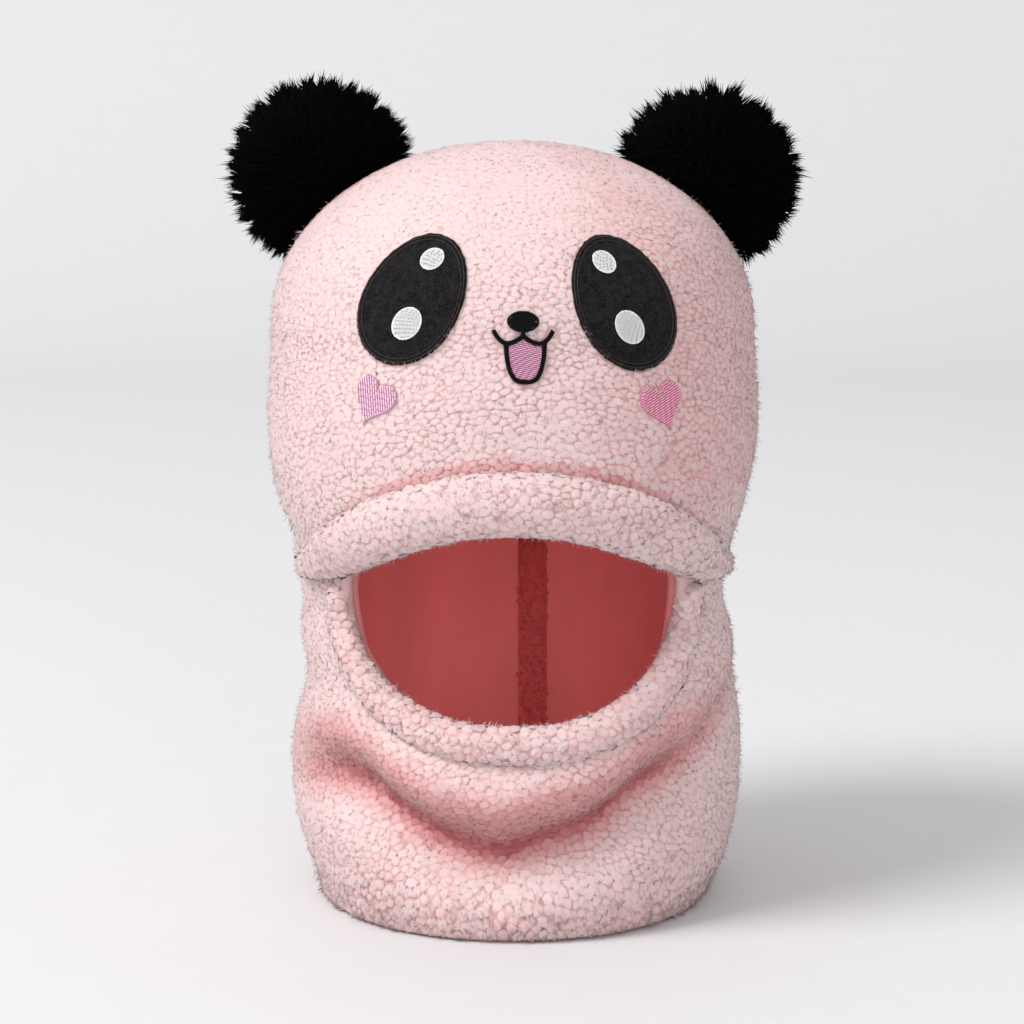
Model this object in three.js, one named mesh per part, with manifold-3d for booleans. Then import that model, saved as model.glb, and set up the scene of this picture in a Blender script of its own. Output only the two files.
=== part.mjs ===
// A toddler's plush hood with an animal face, standing on its hem as it does when it is put down.
// One fleece shell covers the head and the neck. It is hollow and open below, and its front has a hole for
// the wearer's face. A thin lining follows it inside, a padded brim and a thinner collar roll bind the hole,
// two fur ears stand on the crown, and felt and embroidery make the animal's face.
// Millimetres, +Z up, the face looks towards -Y, the origin is on the ground under the middle of the whole
// hood.

import * as THREE from "three";
import Module from "manifold-3d";

const wasm = await Module();
wasm.setup();

// Driving dimensions: the hood's body.
const bodyHeight = 271;
const headWidth = 175;
const faceDepth = 96; // from the middle of the head to the front of the face
const backDepth = 92; // from the middle of the head to the back
const shoulderHeight = 205; // where the crown starts to close
const neckHeight = 96; // where the neck's folds have died away
const crownPower = 2.08; // 2 is a round crown, more is squarer
const headLean = 1; // degrees that the ears and the animal's face lean to one side
const fleeceWall = 3.2;
const liningWall = 1.2;
const liningHemRise = 4; // how far the lining stops above the fleece hem
const seatGap = 0.35; // the clearance between any two pieces that touch

// Driving dimensions: the hole for the wearer's face and what binds it.
const openingWidth = 116;
const openingCornerHeight = 120;
const openingRise = 28; // from the corners up to the top edge
const openingDrop = 48; // from the corners down to the bottom edge
const brimSpan = 146;
const brimHeight = 24.5; // across the brim at its middle
const brimPadding = 15; // through the brim at its middle
const brimRise = 5.8; // how far the brim's middle stands above the hole's top edge
const brimDroop = 31; // how far its ends hang below its middle
const brimDroopPower = 2.2; // 2 hangs evenly, more hangs only near the ends
const brimEndHeight = 0.2; // at its ends, as a share of its height at the middle
const brimEndPadding = 0.245;
const brimLift = 0.18; // how far its middle stands off the fleece, as a share of its padding
const collarHeight = 14;
const collarPadding = 10.5;
const collarOffset = 0.2; // how far it lies outside the hole's edge, as a share of its height
const collarSlimness = 0.25; // how much thinner it is at its ends
const collarLeftFullness = 0.95; // at its left end, as a share of its height and its padding
const collarRightFullness = 1.2;

// Driving dimensions: the ears.
const earSpacing = 138;
const earHeight = 258.5;
const earSetBack = 7; // the ears' plane stands this far behind the middle of the head
const earRadius = 28.5;
const earThickness = 21;
const furLength = 5.5;
const furLocks = 18; // round the ear's edge

// Driving dimensions: the animal's face.
const faceShift = 1.4; // the eyes and the hearts sit this far to one side
const faceTurn = 2.6; // degrees that the eyes and the hearts turn together
const noseShift = 3; // the nose and the mouth sit this far to the same side
const eyeSpacing = 69.3;
const eyeHeight = 219.8;
const eyeWidth = 31.3;
const eyeTall = 47;
const eyeTilt = 30; // degrees, the tops lean together
const feltThickness = 1.3;
const threadThickness = 0.9;
const nosePadding = 1.6; // how many threads thick the nose is
const upperGlintWidth = 6.3;
const upperGlintTall = 8.8;
const upperGlintTilt = 56;
const lowerGlintWidth = 9;
const lowerGlintTall = 12;
const lowerGlintTilt = 36;
const noseHeight = 214;
const noseWidth = 10.6;
const noseTall = 6.8;
const mouthWidth = 19.6;
const mouthLine = 1.5;
const mouthDrop = 1.3; // from the nose's lower edge down to where the mouth's two curves meet
const smileDip = 2.8;
const smileRise = 3.9;
const tongueWidth = 12.6; // across the lip, between the middles of its line
const tongueTall = 13.2;
const tongueShift = 0.7; // the tongue hangs this far to one side of the nose
const heartSpacing = 96.5;
const heartHeight = 185.3;
const heartWidth = 13.8;
const heartTall = 16.4;
const heartTilt = 21.5;
const seamWidth = 13;
const seamThickness = 1;
const seamShift = 8.5; // the strip down the back sits this far to one side

// How finely the solids are faceted.
const bodySegments = 30;
const frontCrowding = 0.25; // how much closer the segments stand at the front than on average

// The body's sections from the hem to the crown's shoulder. Heights are shares of bodyHeight, the reach to
// the left and right of half headWidth, to the front of faceDepth and to the back of backDepth.
const sections = [
  { height: 0.0, left: 0.8, right: 0.8, front: 0.87, back: 0.8, power: 2.1 },
  { height: 0.03, left: 0.815, right: 0.835, front: 0.895, back: 0.84, power: 2.1 },
  { height: 0.06, left: 0.85, right: 0.88, front: 0.91, back: 0.87, power: 2.1 },
  { height: 0.12, left: 0.915, right: 0.92, front: 0.91, back: 0.9, power: 2.1 },
  { height: 0.18, left: 0.935, right: 0.935, front: 0.9, back: 0.92, power: 2.1 },
  { height: 0.24, left: 0.885, right: 0.935, front: 0.89, back: 0.92, power: 2.1 },
  { height: 0.3, left: 0.848, right: 0.91, front: 0.885, back: 0.91, power: 2.1 },
  { height: 0.36, left: 0.872, right: 0.888, front: 0.89, back: 0.905, power: 2.15 },
  { height: 0.4, left: 0.86, right: 0.855, front: 0.9, back: 0.905, power: 2.15 },
  { height: 0.44, left: 0.885, right: 0.867, front: 0.925, back: 0.91, power: 2.15 },
  { height: 0.49, left: 0.902, right: 0.9, front: 0.95, back: 0.925, power: 2.15 },
  { height: 0.53, left: 0.95, right: 0.94, front: 0.97, back: 0.945, power: 2.2 },
  { height: 0.58, left: 0.985, right: 0.972, front: 0.995, back: 0.97, power: 2.2 },
  { height: 0.64, left: 1.0, right: 0.995, front: 1.0, back: 0.99, power: 2.2 },
  { height: 0.7, left: 0.99, right: 0.985, front: 0.99, back: 1.0, power: 2.2 },
  { height: 0.76, left: 0.985, right: 0.975, front: 0.965, back: 0.99, power: 2.2 },
];

// The deep fold under the collar, round the front. Angles are degrees from the front towards +X, heights are
// shares of bodyHeight, depths of faceDepth.
const neckFold = [
  { angle: -180, height: 0.235, depth: 0.0 },
  { angle: -115, height: 0.175, depth: 0.0 },
  { angle: -90, height: 0.17, depth: 0.015 },
  { angle: -70, height: 0.176, depth: 0.05 },
  { angle: -52, height: 0.193, depth: 0.09 },
  { angle: -38, height: 0.186, depth: 0.115 },
  { angle: -27, height: 0.153, depth: 0.125 },
  { angle: -15, height: 0.125, depth: 0.135 },
  { angle: -4, height: 0.114, depth: 0.14 },
  { angle: 8, height: 0.13, depth: 0.135 },
  { angle: 20, height: 0.149, depth: 0.13 },
  { angle: 32, height: 0.19, depth: 0.11 },
  { angle: 47, height: 0.218, depth: 0.085 },
  { angle: 62, height: 0.25, depth: 0.055 },
  { angle: 85, height: 0.285, depth: 0.01 },
  { angle: 115, height: 0.285, depth: 0.0 },
  { angle: 180, height: 0.235, depth: 0.0 },
];
const foldReachAbove = 0.1; // shares of faceDepth
const foldReachBelow = 0.15;
const foldBulgeShare = 0.4; // how much of a fold's depth swells out above it
const foldBulgeRise = 0.2;
const foldBulgeReach = 0.12;

const degrees = THREE.MathUtils.degToRad;
const shoulderRow = sections[sections.length - 1];

// A row of a table at a place between its rows, by a smooth curve through them.
function readTable(table, key, place) {
  const last = table.length - 1;
  if (place <= table[0][key]) return table[0];
  if (place >= table[last][key]) return table[last];
  const i = table.findIndex((row) => row[key] > place) - 1;
  const [before, from, to, after] = [i - 1, i, i + 1, i + 2].map(
    (k) => table[THREE.MathUtils.clamp(k, 0, last)],
  );
  const share = (place - from[key]) / (to[key] - from[key]);
  const read = {};
  for (const name of Object.keys(from)) {
    const startSlope = (to[name] - before[name]) / 2;
    const endSlope = (after[name] - from[name]) / 2;
    const rise = to[name] - from[name];
    read[name] =
      from[name] +
      share * startSlope +
      share ** 2 * (3 * rise - 2 * startSlope - endSlope) +
      share ** 3 * (startSlope + endSlope - 2 * rise);
  }
  return read;
}

// The body is one surface. `angle` turns from the front towards +X, and `travel` runs from 0 at the hem to 1
// at the shoulder and 2 at the top of the crown.
function travelAt(height) {
  if (height <= shoulderHeight) return height / shoulderHeight;
  const share = (height - shoulderHeight) / (bodyHeight - shoulderHeight);
  return 1 + Math.asin(share ** (crownPower / 2)) / (Math.PI / 2);
}

// The neck fold's row at an angle, whatever turn the angle is given in.
function foldRow(angle) {
  const wrapped = Math.atan2(Math.sin(angle), Math.cos(angle));
  return readTable(neckFold, "angle", THREE.MathUtils.radToDeg(wrapped));
}

// The fold pushes the surface in along its line and swells it out above.
function foldAt(angle, height) {
  const fold = foldRow(angle);
  const above = (height - fold.height * bodyHeight) / faceDepth;
  const reach = above > 0 ? foldReachAbove : foldReachBelow;
  const dent = Math.exp(-((above / reach) ** 2));
  const bulge = Math.exp(-(((above - foldBulgeRise) / foldBulgeReach) ** 2));
  return fold.depth * faceDepth * (foldBulgeShare * bulge - dent);
}

// The height that a travel reaches, and how far the crown has closed in there.
function crownAt(travel) {
  if (travel <= 1) return { height: travel * shoulderHeight, shrink: 1 };
  const closing = ((travel - 1) * Math.PI) / 2;
  const rise = Math.sin(closing) ** (2 / crownPower);
  return {
    height: shoulderHeight + (bodyHeight - shoulderHeight) * rise,
    shrink: Math.cos(closing) ** (2 / crownPower),
  };
}

function bodyPoint(angle, travel) {
  const { height, shrink } = crownAt(travel);
  const tablePlace = Math.min(travel, 1) * shoulderRow.height;
  const row = readTable(sections, "height", tablePlace);
  const [sin, cos] = [Math.sin(angle), Math.cos(angle)];
  const halfWidth = ((sin > 0 ? row.right : row.left) * headWidth) / 2;
  const depth = cos > 0 ? row.front * faceDepth : row.back * backDepth;
  const across = Math.abs(sin) / halfWidth;
  const along = Math.abs(cos) / depth;
  const round = (across ** row.power + along ** row.power) ** (-1 / row.power);
  const radius = round * shrink + (travel < 1 ? foldAt(angle, height) : 0);
  return new THREE.Vector3(radius * sin, -radius * cos, height);
}

// The outward direction of the body's surface.
function bodyNormal(angle, travel) {
  if (travel > 1.97) return new THREE.Vector3(0, 0, 1);
  const step = 1e-3;
  const round = bodyPoint(angle + step, travel).sub(bodyPoint(angle - step, travel));
  const up = bodyPoint(angle, travel + step).sub(bodyPoint(angle, travel - step));
  return round.cross(up).normalize();
}

// A point that stands off the body's surface, outwards where `lift` is positive.
function offBody(angle, travel, lift) {
  return bodyPoint(angle, travel).addScaledVector(bodyNormal(angle, travel), lift);
}

// A point off the body that is seen at x and height from the front.
function offFace(x, height, lift) {
  const travel = travelAt(height);
  let [low, high] = [-Math.PI / 2, Math.PI / 2];
  for (let i = 0; i < 30; i++) {
    const middle = (low + high) / 2;
    if (bodyPoint(middle, travel).x < x) low = middle;
    else high = middle;
  }
  return offBody(low, travel, lift);
}

// A closed solid through rings of points, from one end point to the other.
function loft(start, rings, end) {
  const points = [start, ...rings.flat(), end];
  const around = rings[0].length;
  const ringPoint = (ring, i) => 1 + ring * around + (i % around);
  const triangles = [];
  for (let i = 0; i < around; i++) {
    triangles.push([0, ringPoint(0, i), ringPoint(0, i + 1)]);
    for (let ring = 0; ring + 1 < rings.length; ring++) {
      const [a, b] = [ringPoint(ring, i), ringPoint(ring, i + 1)];
      const [c, d] = [ringPoint(ring + 1, i), ringPoint(ring + 1, i + 1)];
      triangles.push([a, c, d], [a, d, b]);
    }
    const last = rings.length - 1;
    triangles.push([
      points.length - 1,
      ringPoint(last, i + 1),
      ringPoint(last, i),
    ]);
  }
  const volume = triangles.reduce((sum, corners) => {
    const [a, b, c] = corners.map((corner) => points[corner]);
    return sum + a.dot(b.clone().cross(c));
  }, 0);
  if (volume < 0) triangles.forEach((corners) => corners.reverse());
  return new wasm.Manifold(
    new wasm.Mesh({
      numProp: 3,
      vertProperties: new Float32Array(points.flatMap((p) => [p.x, p.y, p.z])),
      triVerts: new Uint32Array(triangles.flat()),
    }),
  );
}

// The largest body of a solid that a cut may have left in pieces.
function largest(solid) {
  return solid
    .decompose()
    .reduce((best, body) => (body.volume() > best.volume() ? body : best));
}

function evenSteps(count, from, to) {
  return Array.from({ length: count }, (_, i) => from + ((to - from) * i) / (count - 1));
}

// Even turns once round.
function turns(count) {
  return evenSteps(count + 1, 0, 2 * Math.PI).slice(0, -1);
}

// The body's rows of facets. A row's number is 0 at the hem, 1 along the neck fold, 2 at the neck's height,
// 3 at the shoulder and 4 at the top. The first row lies below the hem, for the hem's cut.
const bodyRows = [
  ...[-0.15, 0.12, 0.4, 0.65, 0.85],
  ...[1, 1.1, 1.2, 1.32, 1.48, 1.72],
  ...evenSteps(7, 2, 3),
  ...[3.2, 3.42, 3.64, 3.86],
];

// Where a row runs at an angle, as a travel over the body.
function rowTravel(row, angle) {
  if (row >= 3) return row - 2;
  const foldHeight = foldRow(angle).height * bodyHeight;
  const stops = [0, foldHeight, neckHeight, shoulderHeight];
  const from = Math.max(Math.floor(row), 0);
  return (stops[from] + (row - from) * (stops[from + 1] - stops[from])) / shoulderHeight;
}

// Everything inside a distance from the body's surface, carried on straight down below the hem.
function bodyFill(lift) {
  const below = -headWidth;
  const angles = turns(bodySegments).map((turn) => turn - frontCrowding * Math.sin(turn));
  const rings = bodyRows
    .toReversed()
    .map((row) => angles.map((angle) => offBody(angle, rowTravel(row, angle), lift)));
  const lowest = rings[rings.length - 1];
  rings.push(lowest.map((point) => new THREE.Vector3(point.x, point.y, below)));
  const [top, bottom] = [bodyHeight + lift, below].map((z) => new THREE.Vector3(0, 0, z));
  return loft(top, rings, bottom);
}

// Everything below a height.
function below(height) {
  const corner = (x, y, z) => new THREE.Vector3(x * headWidth, y * headWidth, z);
  const square = (z) => [corner(-1, -1, z), corner(1, -1, z), corner(1, 1, z), corner(-1, 1, z)];
  const floor = -2 * headWidth;
  return loft(corner(0, 0, floor), [square(floor), square(height)], corner(0, 0, height));
}

// A hollow wall between two distances from the body's surface, cut off level at the hem.
function bodyWall(outer, inner, hemHeight) {
  return bodyFill(outer).subtract(bodyFill(inner)).subtract(below(hemHeight));
}

// The outline of the face hole, seen from the front, as a turn from its right corner up and over.
function openingPoint(turn, grow) {
  const [cos, sin] = [Math.cos(turn), Math.sin(turn)];
  const reach = (sin > 0 ? openingRise : openingDrop) + grow;
  return {
    x: (openingWidth / 2 + grow) * squared(cos, 0.85),
    height: openingCornerHeight + reach * squared(sin, sin > 0 ? 1 : 0.85),
  };
}

// A sine or cosine whose curve is squarer the further `power` is below 1.
function squared(value, power) {
  return Math.sign(value) * Math.abs(value) ** power;
}

// A solid that cuts the face hole through the front of the body.
function openingCutter(grow) {
  const outline = turns(40).map((turn) => openingPoint(turn, grow));
  const ringAt = (y) => outline.map((spot) => new THREE.Vector3(spot.x, y, spot.height));
  const [front, behind] = [-1.5 * faceDepth, -0.15 * faceDepth];
  const middle = (y) => new THREE.Vector3(0, y, openingCornerHeight);
  return loft(middle(front), [ringAt(front), ringAt(behind)], middle(behind));
}

const layers = fleeceWall + seatGap + liningWall;

function hoodShell() {
  return bodyWall(0, -fleeceWall, 0).subtract(openingCutter(0));
}

function lining() {
  return bodyWall(-(fleeceWall + seatGap), -layers, liningHemRise).subtract(openingCutter(0));
}

// A padded roll along the front of the body. Each row of its path gives where its middle is, its height
// across and its padding through, and how far its middle stands off the body.
function roll(path, sides) {
  const spots = path.map((row) => offFace(row.x, row.height, row.lift));
  const rings = path.map((row, i) => {
    const [before, after] = [i - 1, i + 1].map(
      (k) => spots[THREE.MathUtils.clamp(k, 0, spots.length - 1)],
    );
    const out = offFace(row.x, row.height, row.lift + 1).sub(spots[i]);
    const across = out.clone().cross(after.clone().sub(before)).normalize();
    return turns(sides).map((turn) =>
      spots[i]
        .clone()
        .addScaledVector(across, (row.across / 2) * Math.cos(turn))
        .addScaledVector(out, (row.through / 2) * Math.sin(turn)),
    );
  });
  return loft(spots[0], rings, spots[spots.length - 1]);
}

// The brim's path: an arch over the hole whose ends hang and taper to the sides of the head.
function brimPath(grow) {
  return evenSteps(21, -1, 1).map((place) => {
    const share = Math.abs(place);
    const heightTaper = (1 - (1 - brimEndHeight ** 2) * share ** 6) ** 0.5;
    const paddingTaper = (1 - (1 - brimEndPadding ** 2) * share ** 3) ** 0.5;
    return {
      x: (brimSpan / 2) * place,
      height: openingCornerHeight + openingRise + brimRise - brimDroop * share ** brimDroopPower,
      lift: brimPadding * brimLift,
      across: brimHeight * heightTaper + 2 * grow,
      through: brimPadding * paddingTaper + 2 * grow,
    };
  });
}

// The collar's path: round the hole's lower edge, from the left corner down to the right one, where it is
// fuller.
function collarPath() {
  return evenSteps(21, 0, 1).map((share) => {
    const turn = Math.PI * (1 + share);
    const fromEnd = Math.abs(Math.sin(turn)) ** 0.5;
    const slimness = 1 - collarSlimness * (1 - fromEnd);
    const sideFullness = collarLeftFullness + (collarRightFullness - collarLeftFullness) * share;
    const fullness = slimness * sideFullness;
    return {
      ...openingPoint(turn, collarHeight * collarOffset),
      lift: 0,
      across: collarHeight * fullness,
      through: collarPadding * fullness,
    };
  });
}

// What the brim and the collar must clear: the fleece and the lining round the hole.
function wallClearance() {
  const behind = -(layers + seatGap + headWidth / 10);
  return bodyWall(seatGap, behind, 0).subtract(openingCutter(-seatGap));
}

function brim() {
  return largest(roll(brimPath(0), 10).subtract(wallClearance()));
}

function collar() {
  const bound = roll(collarPath(), 8).subtract(wallClearance());
  return largest(bound.subtract(roll(brimPath(seatGap), 10)));
}

// How far the face's lean brings a place down, by how far it is to the side.
const leanDrop = (x) => x * Math.tan(degrees(headLean));

// One ear: a stuffed disc with pointed locks of fur fused all over it, cut to sit on the crown.
function ear(side) {
  const x = (side * earSpacing) / 2;
  const centre = new THREE.Vector3(x, earSetBack, earHeight - leanDrop(x));
  const discPoint = (polar, turn, grow) =>
    new THREE.Vector3(
      Math.sin(polar) * Math.cos(turn) * (earRadius + grow),
      -Math.cos(polar) * (earThickness / 2 + grow),
      Math.sin(polar) * Math.sin(turn) * (earRadius + grow),
    ).add(centre);
  const rings = evenSteps(7, 0, Math.PI)
    .slice(1, -1)
    .map((polar) => turns(14).map((turn) => discPoint(polar, turn, 0)));
  let solid = loft(discPoint(0, 0, 0), rings, discPoint(Math.PI, 0, 0));
  for (const polar of [20, 56, 90, 124, 160].map(degrees)) {
    const locks = Math.ceil(furLocks * Math.sin(polar));
    for (const turn of turns(locks)) {
      const foot = discPoint(polar, turn + polar, -0.2 * furLength);
      const tip = discPoint(polar, turn + polar + 0.1, furLength);
      solid = solid.add(lock(foot, tip, (3.2 * earRadius) / furLocks));
    }
  }
  return largest(solid.subtract(bodyFill(seatGap)));
}

// A three-sided lock of fur from its foot to its tip.
function lock(foot, tip, footRadius) {
  const axis = tip.clone().sub(foot).normalize();
  const side = new THREE.Vector3(0.3, 0.5, 0.81).cross(axis).normalize();
  const other = axis.clone().cross(side);
  const ring = turns(3).map((turn) =>
    foot
      .clone()
      .addScaledVector(side, footRadius * Math.cos(turn))
      .addScaledVector(other, footRadius * Math.sin(turn)),
  );
  return loft(foot, [ring], tip);
}

// A point off the face, on the leaning lines that the animal's features keep.
function offFeatures(x, height, lift) {
  return offFace(x, height - leanDrop(x), lift);
}

// A flat piece laid on the face. `outline` gives its edge at a turn, from its middle, before it is tilted.
function pad({ x, height, tilt = 0, outline, segments, rings, lift, thick }) {
  const [cos, sin] = [Math.cos(degrees(tilt)), Math.sin(degrees(tilt))];
  const spotAt = (turn, share, off) => {
    const edge = outline(turn);
    const [across, up] = [edge.across * share, edge.up * share];
    return offFeatures(x + across * cos + up * sin, height - across * sin + up * cos, off);
  };
  const ringAt = (share, off) => turns(segments).map((turn) => spotAt(turn, share, off));
  const shares = evenSteps(rings + 1, 0, 1).slice(1);
  const [low, high] = [lift, lift + thick];
  const upperRings = shares.map((share) => ringAt(share, high));
  const lowerRings = shares.toReversed().map((share) => ringAt(share, low));
  return loft(spotAt(0, 0, high), [...upperRings, ...lowerRings], spotAt(0, 0, low));
}

const oval = (width, tall) => (turn) => ({
  across: (width / 2) * Math.cos(turn),
  up: (tall / 2) * Math.sin(turn),
});

// An oval that is a little narrower at its top.
const egg = (width, tall) => (turn) => ({
  across: (width / 2) * Math.cos(turn) * (1 - 0.07 * Math.sin(turn)),
  up: (tall / 2) * Math.sin(turn),
});

// The usual heart curve: 29 units tall, with its middle 2.5 units below its origin.
const heart = (width, tall) => (turn) => {
  const rise =
    13 * Math.cos(turn) - 5 * Math.cos(2 * turn) - 2 * Math.cos(3 * turn) - Math.cos(4 * turn);
  return { across: (width / 2) * Math.sin(turn) ** 3, up: (tall / 29) * (rise + 2.5) };
};

const eyeX = (side) => faceShift + (side * eyeSpacing) / 2;

function eye(side) {
  return pad({
    x: eyeX(side),
    height: eyeHeight,
    tilt: faceTurn - side * eyeTilt,
    outline: egg(eyeWidth, eyeTall),
    segments: 20,
    rings: 3,
    lift: seatGap,
    thick: feltThickness,
  });
}

// Where each white glint lies, as shares of the eye's own size from its middle, towards the nose and up.
const glints = [
  {
    name: "upper",
    inward: 0.208,
    up: 0.276,
    tilt: upperGlintTilt,
    outline: oval(upperGlintWidth, upperGlintTall),
  },
  {
    name: "lower",
    inward: -0.055,
    up: -0.162,
    tilt: lowerGlintTilt,
    outline: oval(lowerGlintWidth, lowerGlintTall),
  },
];

function glint(side, spot) {
  return pad({
    x: eyeX(side) - side * spot.inward * eyeWidth,
    height: eyeHeight + spot.up * eyeTall,
    tilt: faceTurn - side * spot.tilt,
    outline: spot.outline,
    segments: 12,
    rings: 1,
    lift: feltThickness + 2 * seatGap,
    thick: threadThickness,
  });
}

function nose() {
  return pad({
    x: noseShift,
    height: noseHeight,
    outline: oval(noseWidth, noseTall),
    segments: 14,
    rings: 2,
    lift: seatGap,
    thick: threadThickness * nosePadding,
  });
}

function cheekHeart(side) {
  return pad({
    x: faceShift + (side * heartSpacing) / 2,
    height: heartHeight,
    tilt: faceTurn - side * heartTilt,
    outline: heart(heartWidth, heartTall),
    segments: 22,
    rings: 2,
    lift: seatGap,
    thick: threadThickness,
  });
}

// A line of satin stitch laid on the face along a path of spots. `grow` thickens it on every side.
function stitchedLine(spots, grow) {
  const halfWidth = mouthLine / 2 + grow;
  const [low, high] = [seatGap - grow, seatGap + threadThickness + grow];
  const rings = spots.map((spot, i) => {
    const before = spots[Math.max(i - 1, 0)];
    const after = spots[Math.min(i + 1, spots.length - 1)];
    const length = Math.hypot(after.x - before.x, after.height - before.height);
    const [aside, up] = [before.height - after.height, after.x - before.x].map(
      (run) => (run / length) * halfWidth,
    );
    const corner = (sign, lift) =>
      offFeatures(spot.x + sign * aside, spot.height + sign * up, lift);
    return [corner(1, low), corner(-1, low), corner(-1, high), corner(1, high)];
  });
  const middle = (ring) => ring[0].clone().add(ring[2]).divideScalar(2);
  return loft(middle(rings[0]), rings, middle(rings[rings.length - 1]));
}

// The mouth hangs under the nose: a short stem, two curves that meet under it, and the lip round the
// tongue.
const smileHeight = noseHeight - noseTall / 2 - mouthDrop;
const lipTop = smileHeight - smileDip * 0.7;
const lipX = (turn) => tongueShift + (tongueWidth / 2) * squared(Math.cos(turn), 0.6);

function mouth(grow) {
  const line = (spots) =>
    stitchedLine(
      spots.map(([x, height]) => ({ x: noseShift + x, height })),
      grow,
    );
  const stemTop = noseHeight - noseTall / 2 - seatGap - grow;
  const stem = line([
    [0, stemTop],
    [0, smileHeight],
  ]);
  const curve = (side) =>
    line(
      evenSteps(8, 0, 1).map((share) => {
        const dip = smileDip * Math.sin(share * Math.PI * 0.75);
        return [(side * share * mouthWidth) / 2, smileHeight - dip + smileRise * share ** 4];
      }),
    );
  const lip = line(
    evenSteps(15, 0, Math.PI).map((turn) => [lipX(turn), lipTop - tongueTall * Math.sin(turn)]),
  );
  return stem.add(curve(-1)).add(curve(1)).add(lip);
}

// The tongue fills the lip up to the mouth's curves.
function tongue() {
  const middleDrop = 0.4 * tongueTall;
  const filled = pad({
    x: noseShift + tongueShift,
    height: lipTop - middleDrop,
    outline: (turn) => {
      const reach = Math.sin(turn) > 0 ? middleDrop + smileDip / 2 : tongueTall - middleDrop;
      return { across: lipX(turn) - tongueShift, up: reach * Math.sin(turn) };
    },
    segments: 16,
    rings: 1,
    lift: seatGap,
    thick: threadThickness,
  });
  return largest(filled.subtract(mouth(seatGap)));
}

// The strip down the middle of the back, inside on the lining. It stands clear of the lining's facets, which
// cut inside its curve by up to the sag.
function backSeam() {
  const sag = 0.8;
  const face = -(layers + seatGap + sag);
  const middleAngle = Math.PI - Math.asin(seamShift / backDepth);
  const halfAngle = Math.asin(seamWidth / 2 / backDepth);
  const rings = evenSteps(16, 0.07, 1).map((travel) => {
    const corner = (side, lift) => offBody(middleAngle + side * halfAngle, travel, lift);
    const back = face - seamThickness;
    return [corner(-1, face), corner(1, face), corner(1, back), corner(-1, back)];
  });
  const middle = (ring) => ring[0].clone().add(ring[2]).divideScalar(2);
  return loft(middle(rings[0]), rings, middle(rings[rings.length - 1]));
}

const finish = (color, roughness) =>
  new THREE.MeshStandardMaterial({ color, roughness, metalness: 0 });
const pinkFleece = finish(0xf3cfcf, 0.95);
const roseLining = finish(0xa34343, 0.9);
const blackFur = finish(0x0d0c0e, 0.9);
const blackFelt = finish(0x1c1b1d, 0.85);
const blackThread = finish(0x121112, 0.6);
const whiteThread = finish(0xf0f0f2, 0.5);
const pinkThread = finish(0xe39fc4, 0.5);

const hood = new THREE.Group();

function addPiece(name, solid, material) {
  const made = solid.getMesh();
  const positions = new Float32Array(made.numVert * 3);
  for (let i = 0; i < made.numVert; i++) {
    const start = i * made.numProp;
    positions.set(made.vertProperties.subarray(start, start + 3), 3 * i);
  }
  const geometry = new THREE.BufferGeometry()
    .setAttribute("position", new THREE.BufferAttribute(positions, 3))
    .setIndex(new THREE.BufferAttribute(made.triVerts, 1));
  geometry.computeVertexNormals();
  const mesh = new THREE.Mesh(geometry, material);
  mesh.name = name;
  hood.add(mesh);
}

addPiece("hood_shell", hoodShell(), pinkFleece);
addPiece("lining", lining(), roseLining);
addPiece("back_seam", backSeam(), roseLining);
addPiece("brim", brim(), pinkFleece);
addPiece("collar_roll", collar(), pinkFleece);
for (const [word, side] of [
  ["left", -1],
  ["right", 1],
]) {
  addPiece(`ear_${word}`, ear(side), blackFur);
  addPiece(`eye_${word}`, eye(side), blackFelt);
  for (const spot of glints)
    addPiece(`glint_${spot.name}_${word}`, glint(side, spot), whiteThread);
  addPiece(`heart_${word}`, cheekHeart(side), pinkThread);
}
addPiece("nose", nose(), blackThread);
addPiece("mouth", mouth(0), blackThread);
addPiece("tongue", tongue(), pinkThread);

// The whole hood stands over the origin.
const bounds = new THREE.Box3().setFromObject(hood);
const middle = bounds.getCenter(new THREE.Vector3());
hood.position.set(-middle.x, -middle.y, -bounds.min.z);

export default hood;
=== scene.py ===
import math

import bpy
import numpy as np
from bpy.props import FloatProperty, FloatVectorProperty, PointerProperty
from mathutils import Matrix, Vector, kdtree
from mathutils.bvhtree import BVHTree


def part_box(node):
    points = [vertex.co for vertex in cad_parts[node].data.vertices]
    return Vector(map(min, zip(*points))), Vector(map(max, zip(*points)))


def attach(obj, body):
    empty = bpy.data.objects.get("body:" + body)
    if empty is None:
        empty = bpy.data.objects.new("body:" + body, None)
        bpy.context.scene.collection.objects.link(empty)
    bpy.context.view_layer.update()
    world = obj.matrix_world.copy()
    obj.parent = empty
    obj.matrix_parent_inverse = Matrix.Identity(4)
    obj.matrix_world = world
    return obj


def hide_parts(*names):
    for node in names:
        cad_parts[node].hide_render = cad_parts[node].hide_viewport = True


# A toddler's plush hood with an animal face: pile, padding, felt and embroidery round the hood's
# own solids. Metres, +Z up, the face looks towards -Y.

bl_info = {
    "name": "Plush animal hood",
    "version": (1, 0, 0),
    "blender": (4, 5, 0),
    "location": "View3D > Sidebar > Hood",
    "description": "Builds a fleece hood with a lining, a padded brim, fur ears and a stitched animal face",
    "category": "Add Mesh",
}

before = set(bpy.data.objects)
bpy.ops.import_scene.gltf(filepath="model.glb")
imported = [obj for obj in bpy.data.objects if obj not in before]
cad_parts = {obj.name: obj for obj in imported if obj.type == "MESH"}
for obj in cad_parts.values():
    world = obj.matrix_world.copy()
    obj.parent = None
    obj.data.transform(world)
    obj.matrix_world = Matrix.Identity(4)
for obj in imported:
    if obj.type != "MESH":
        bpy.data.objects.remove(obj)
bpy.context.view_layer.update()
SHELL_LOW, SHELL_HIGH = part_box("hood_shell")

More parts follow.
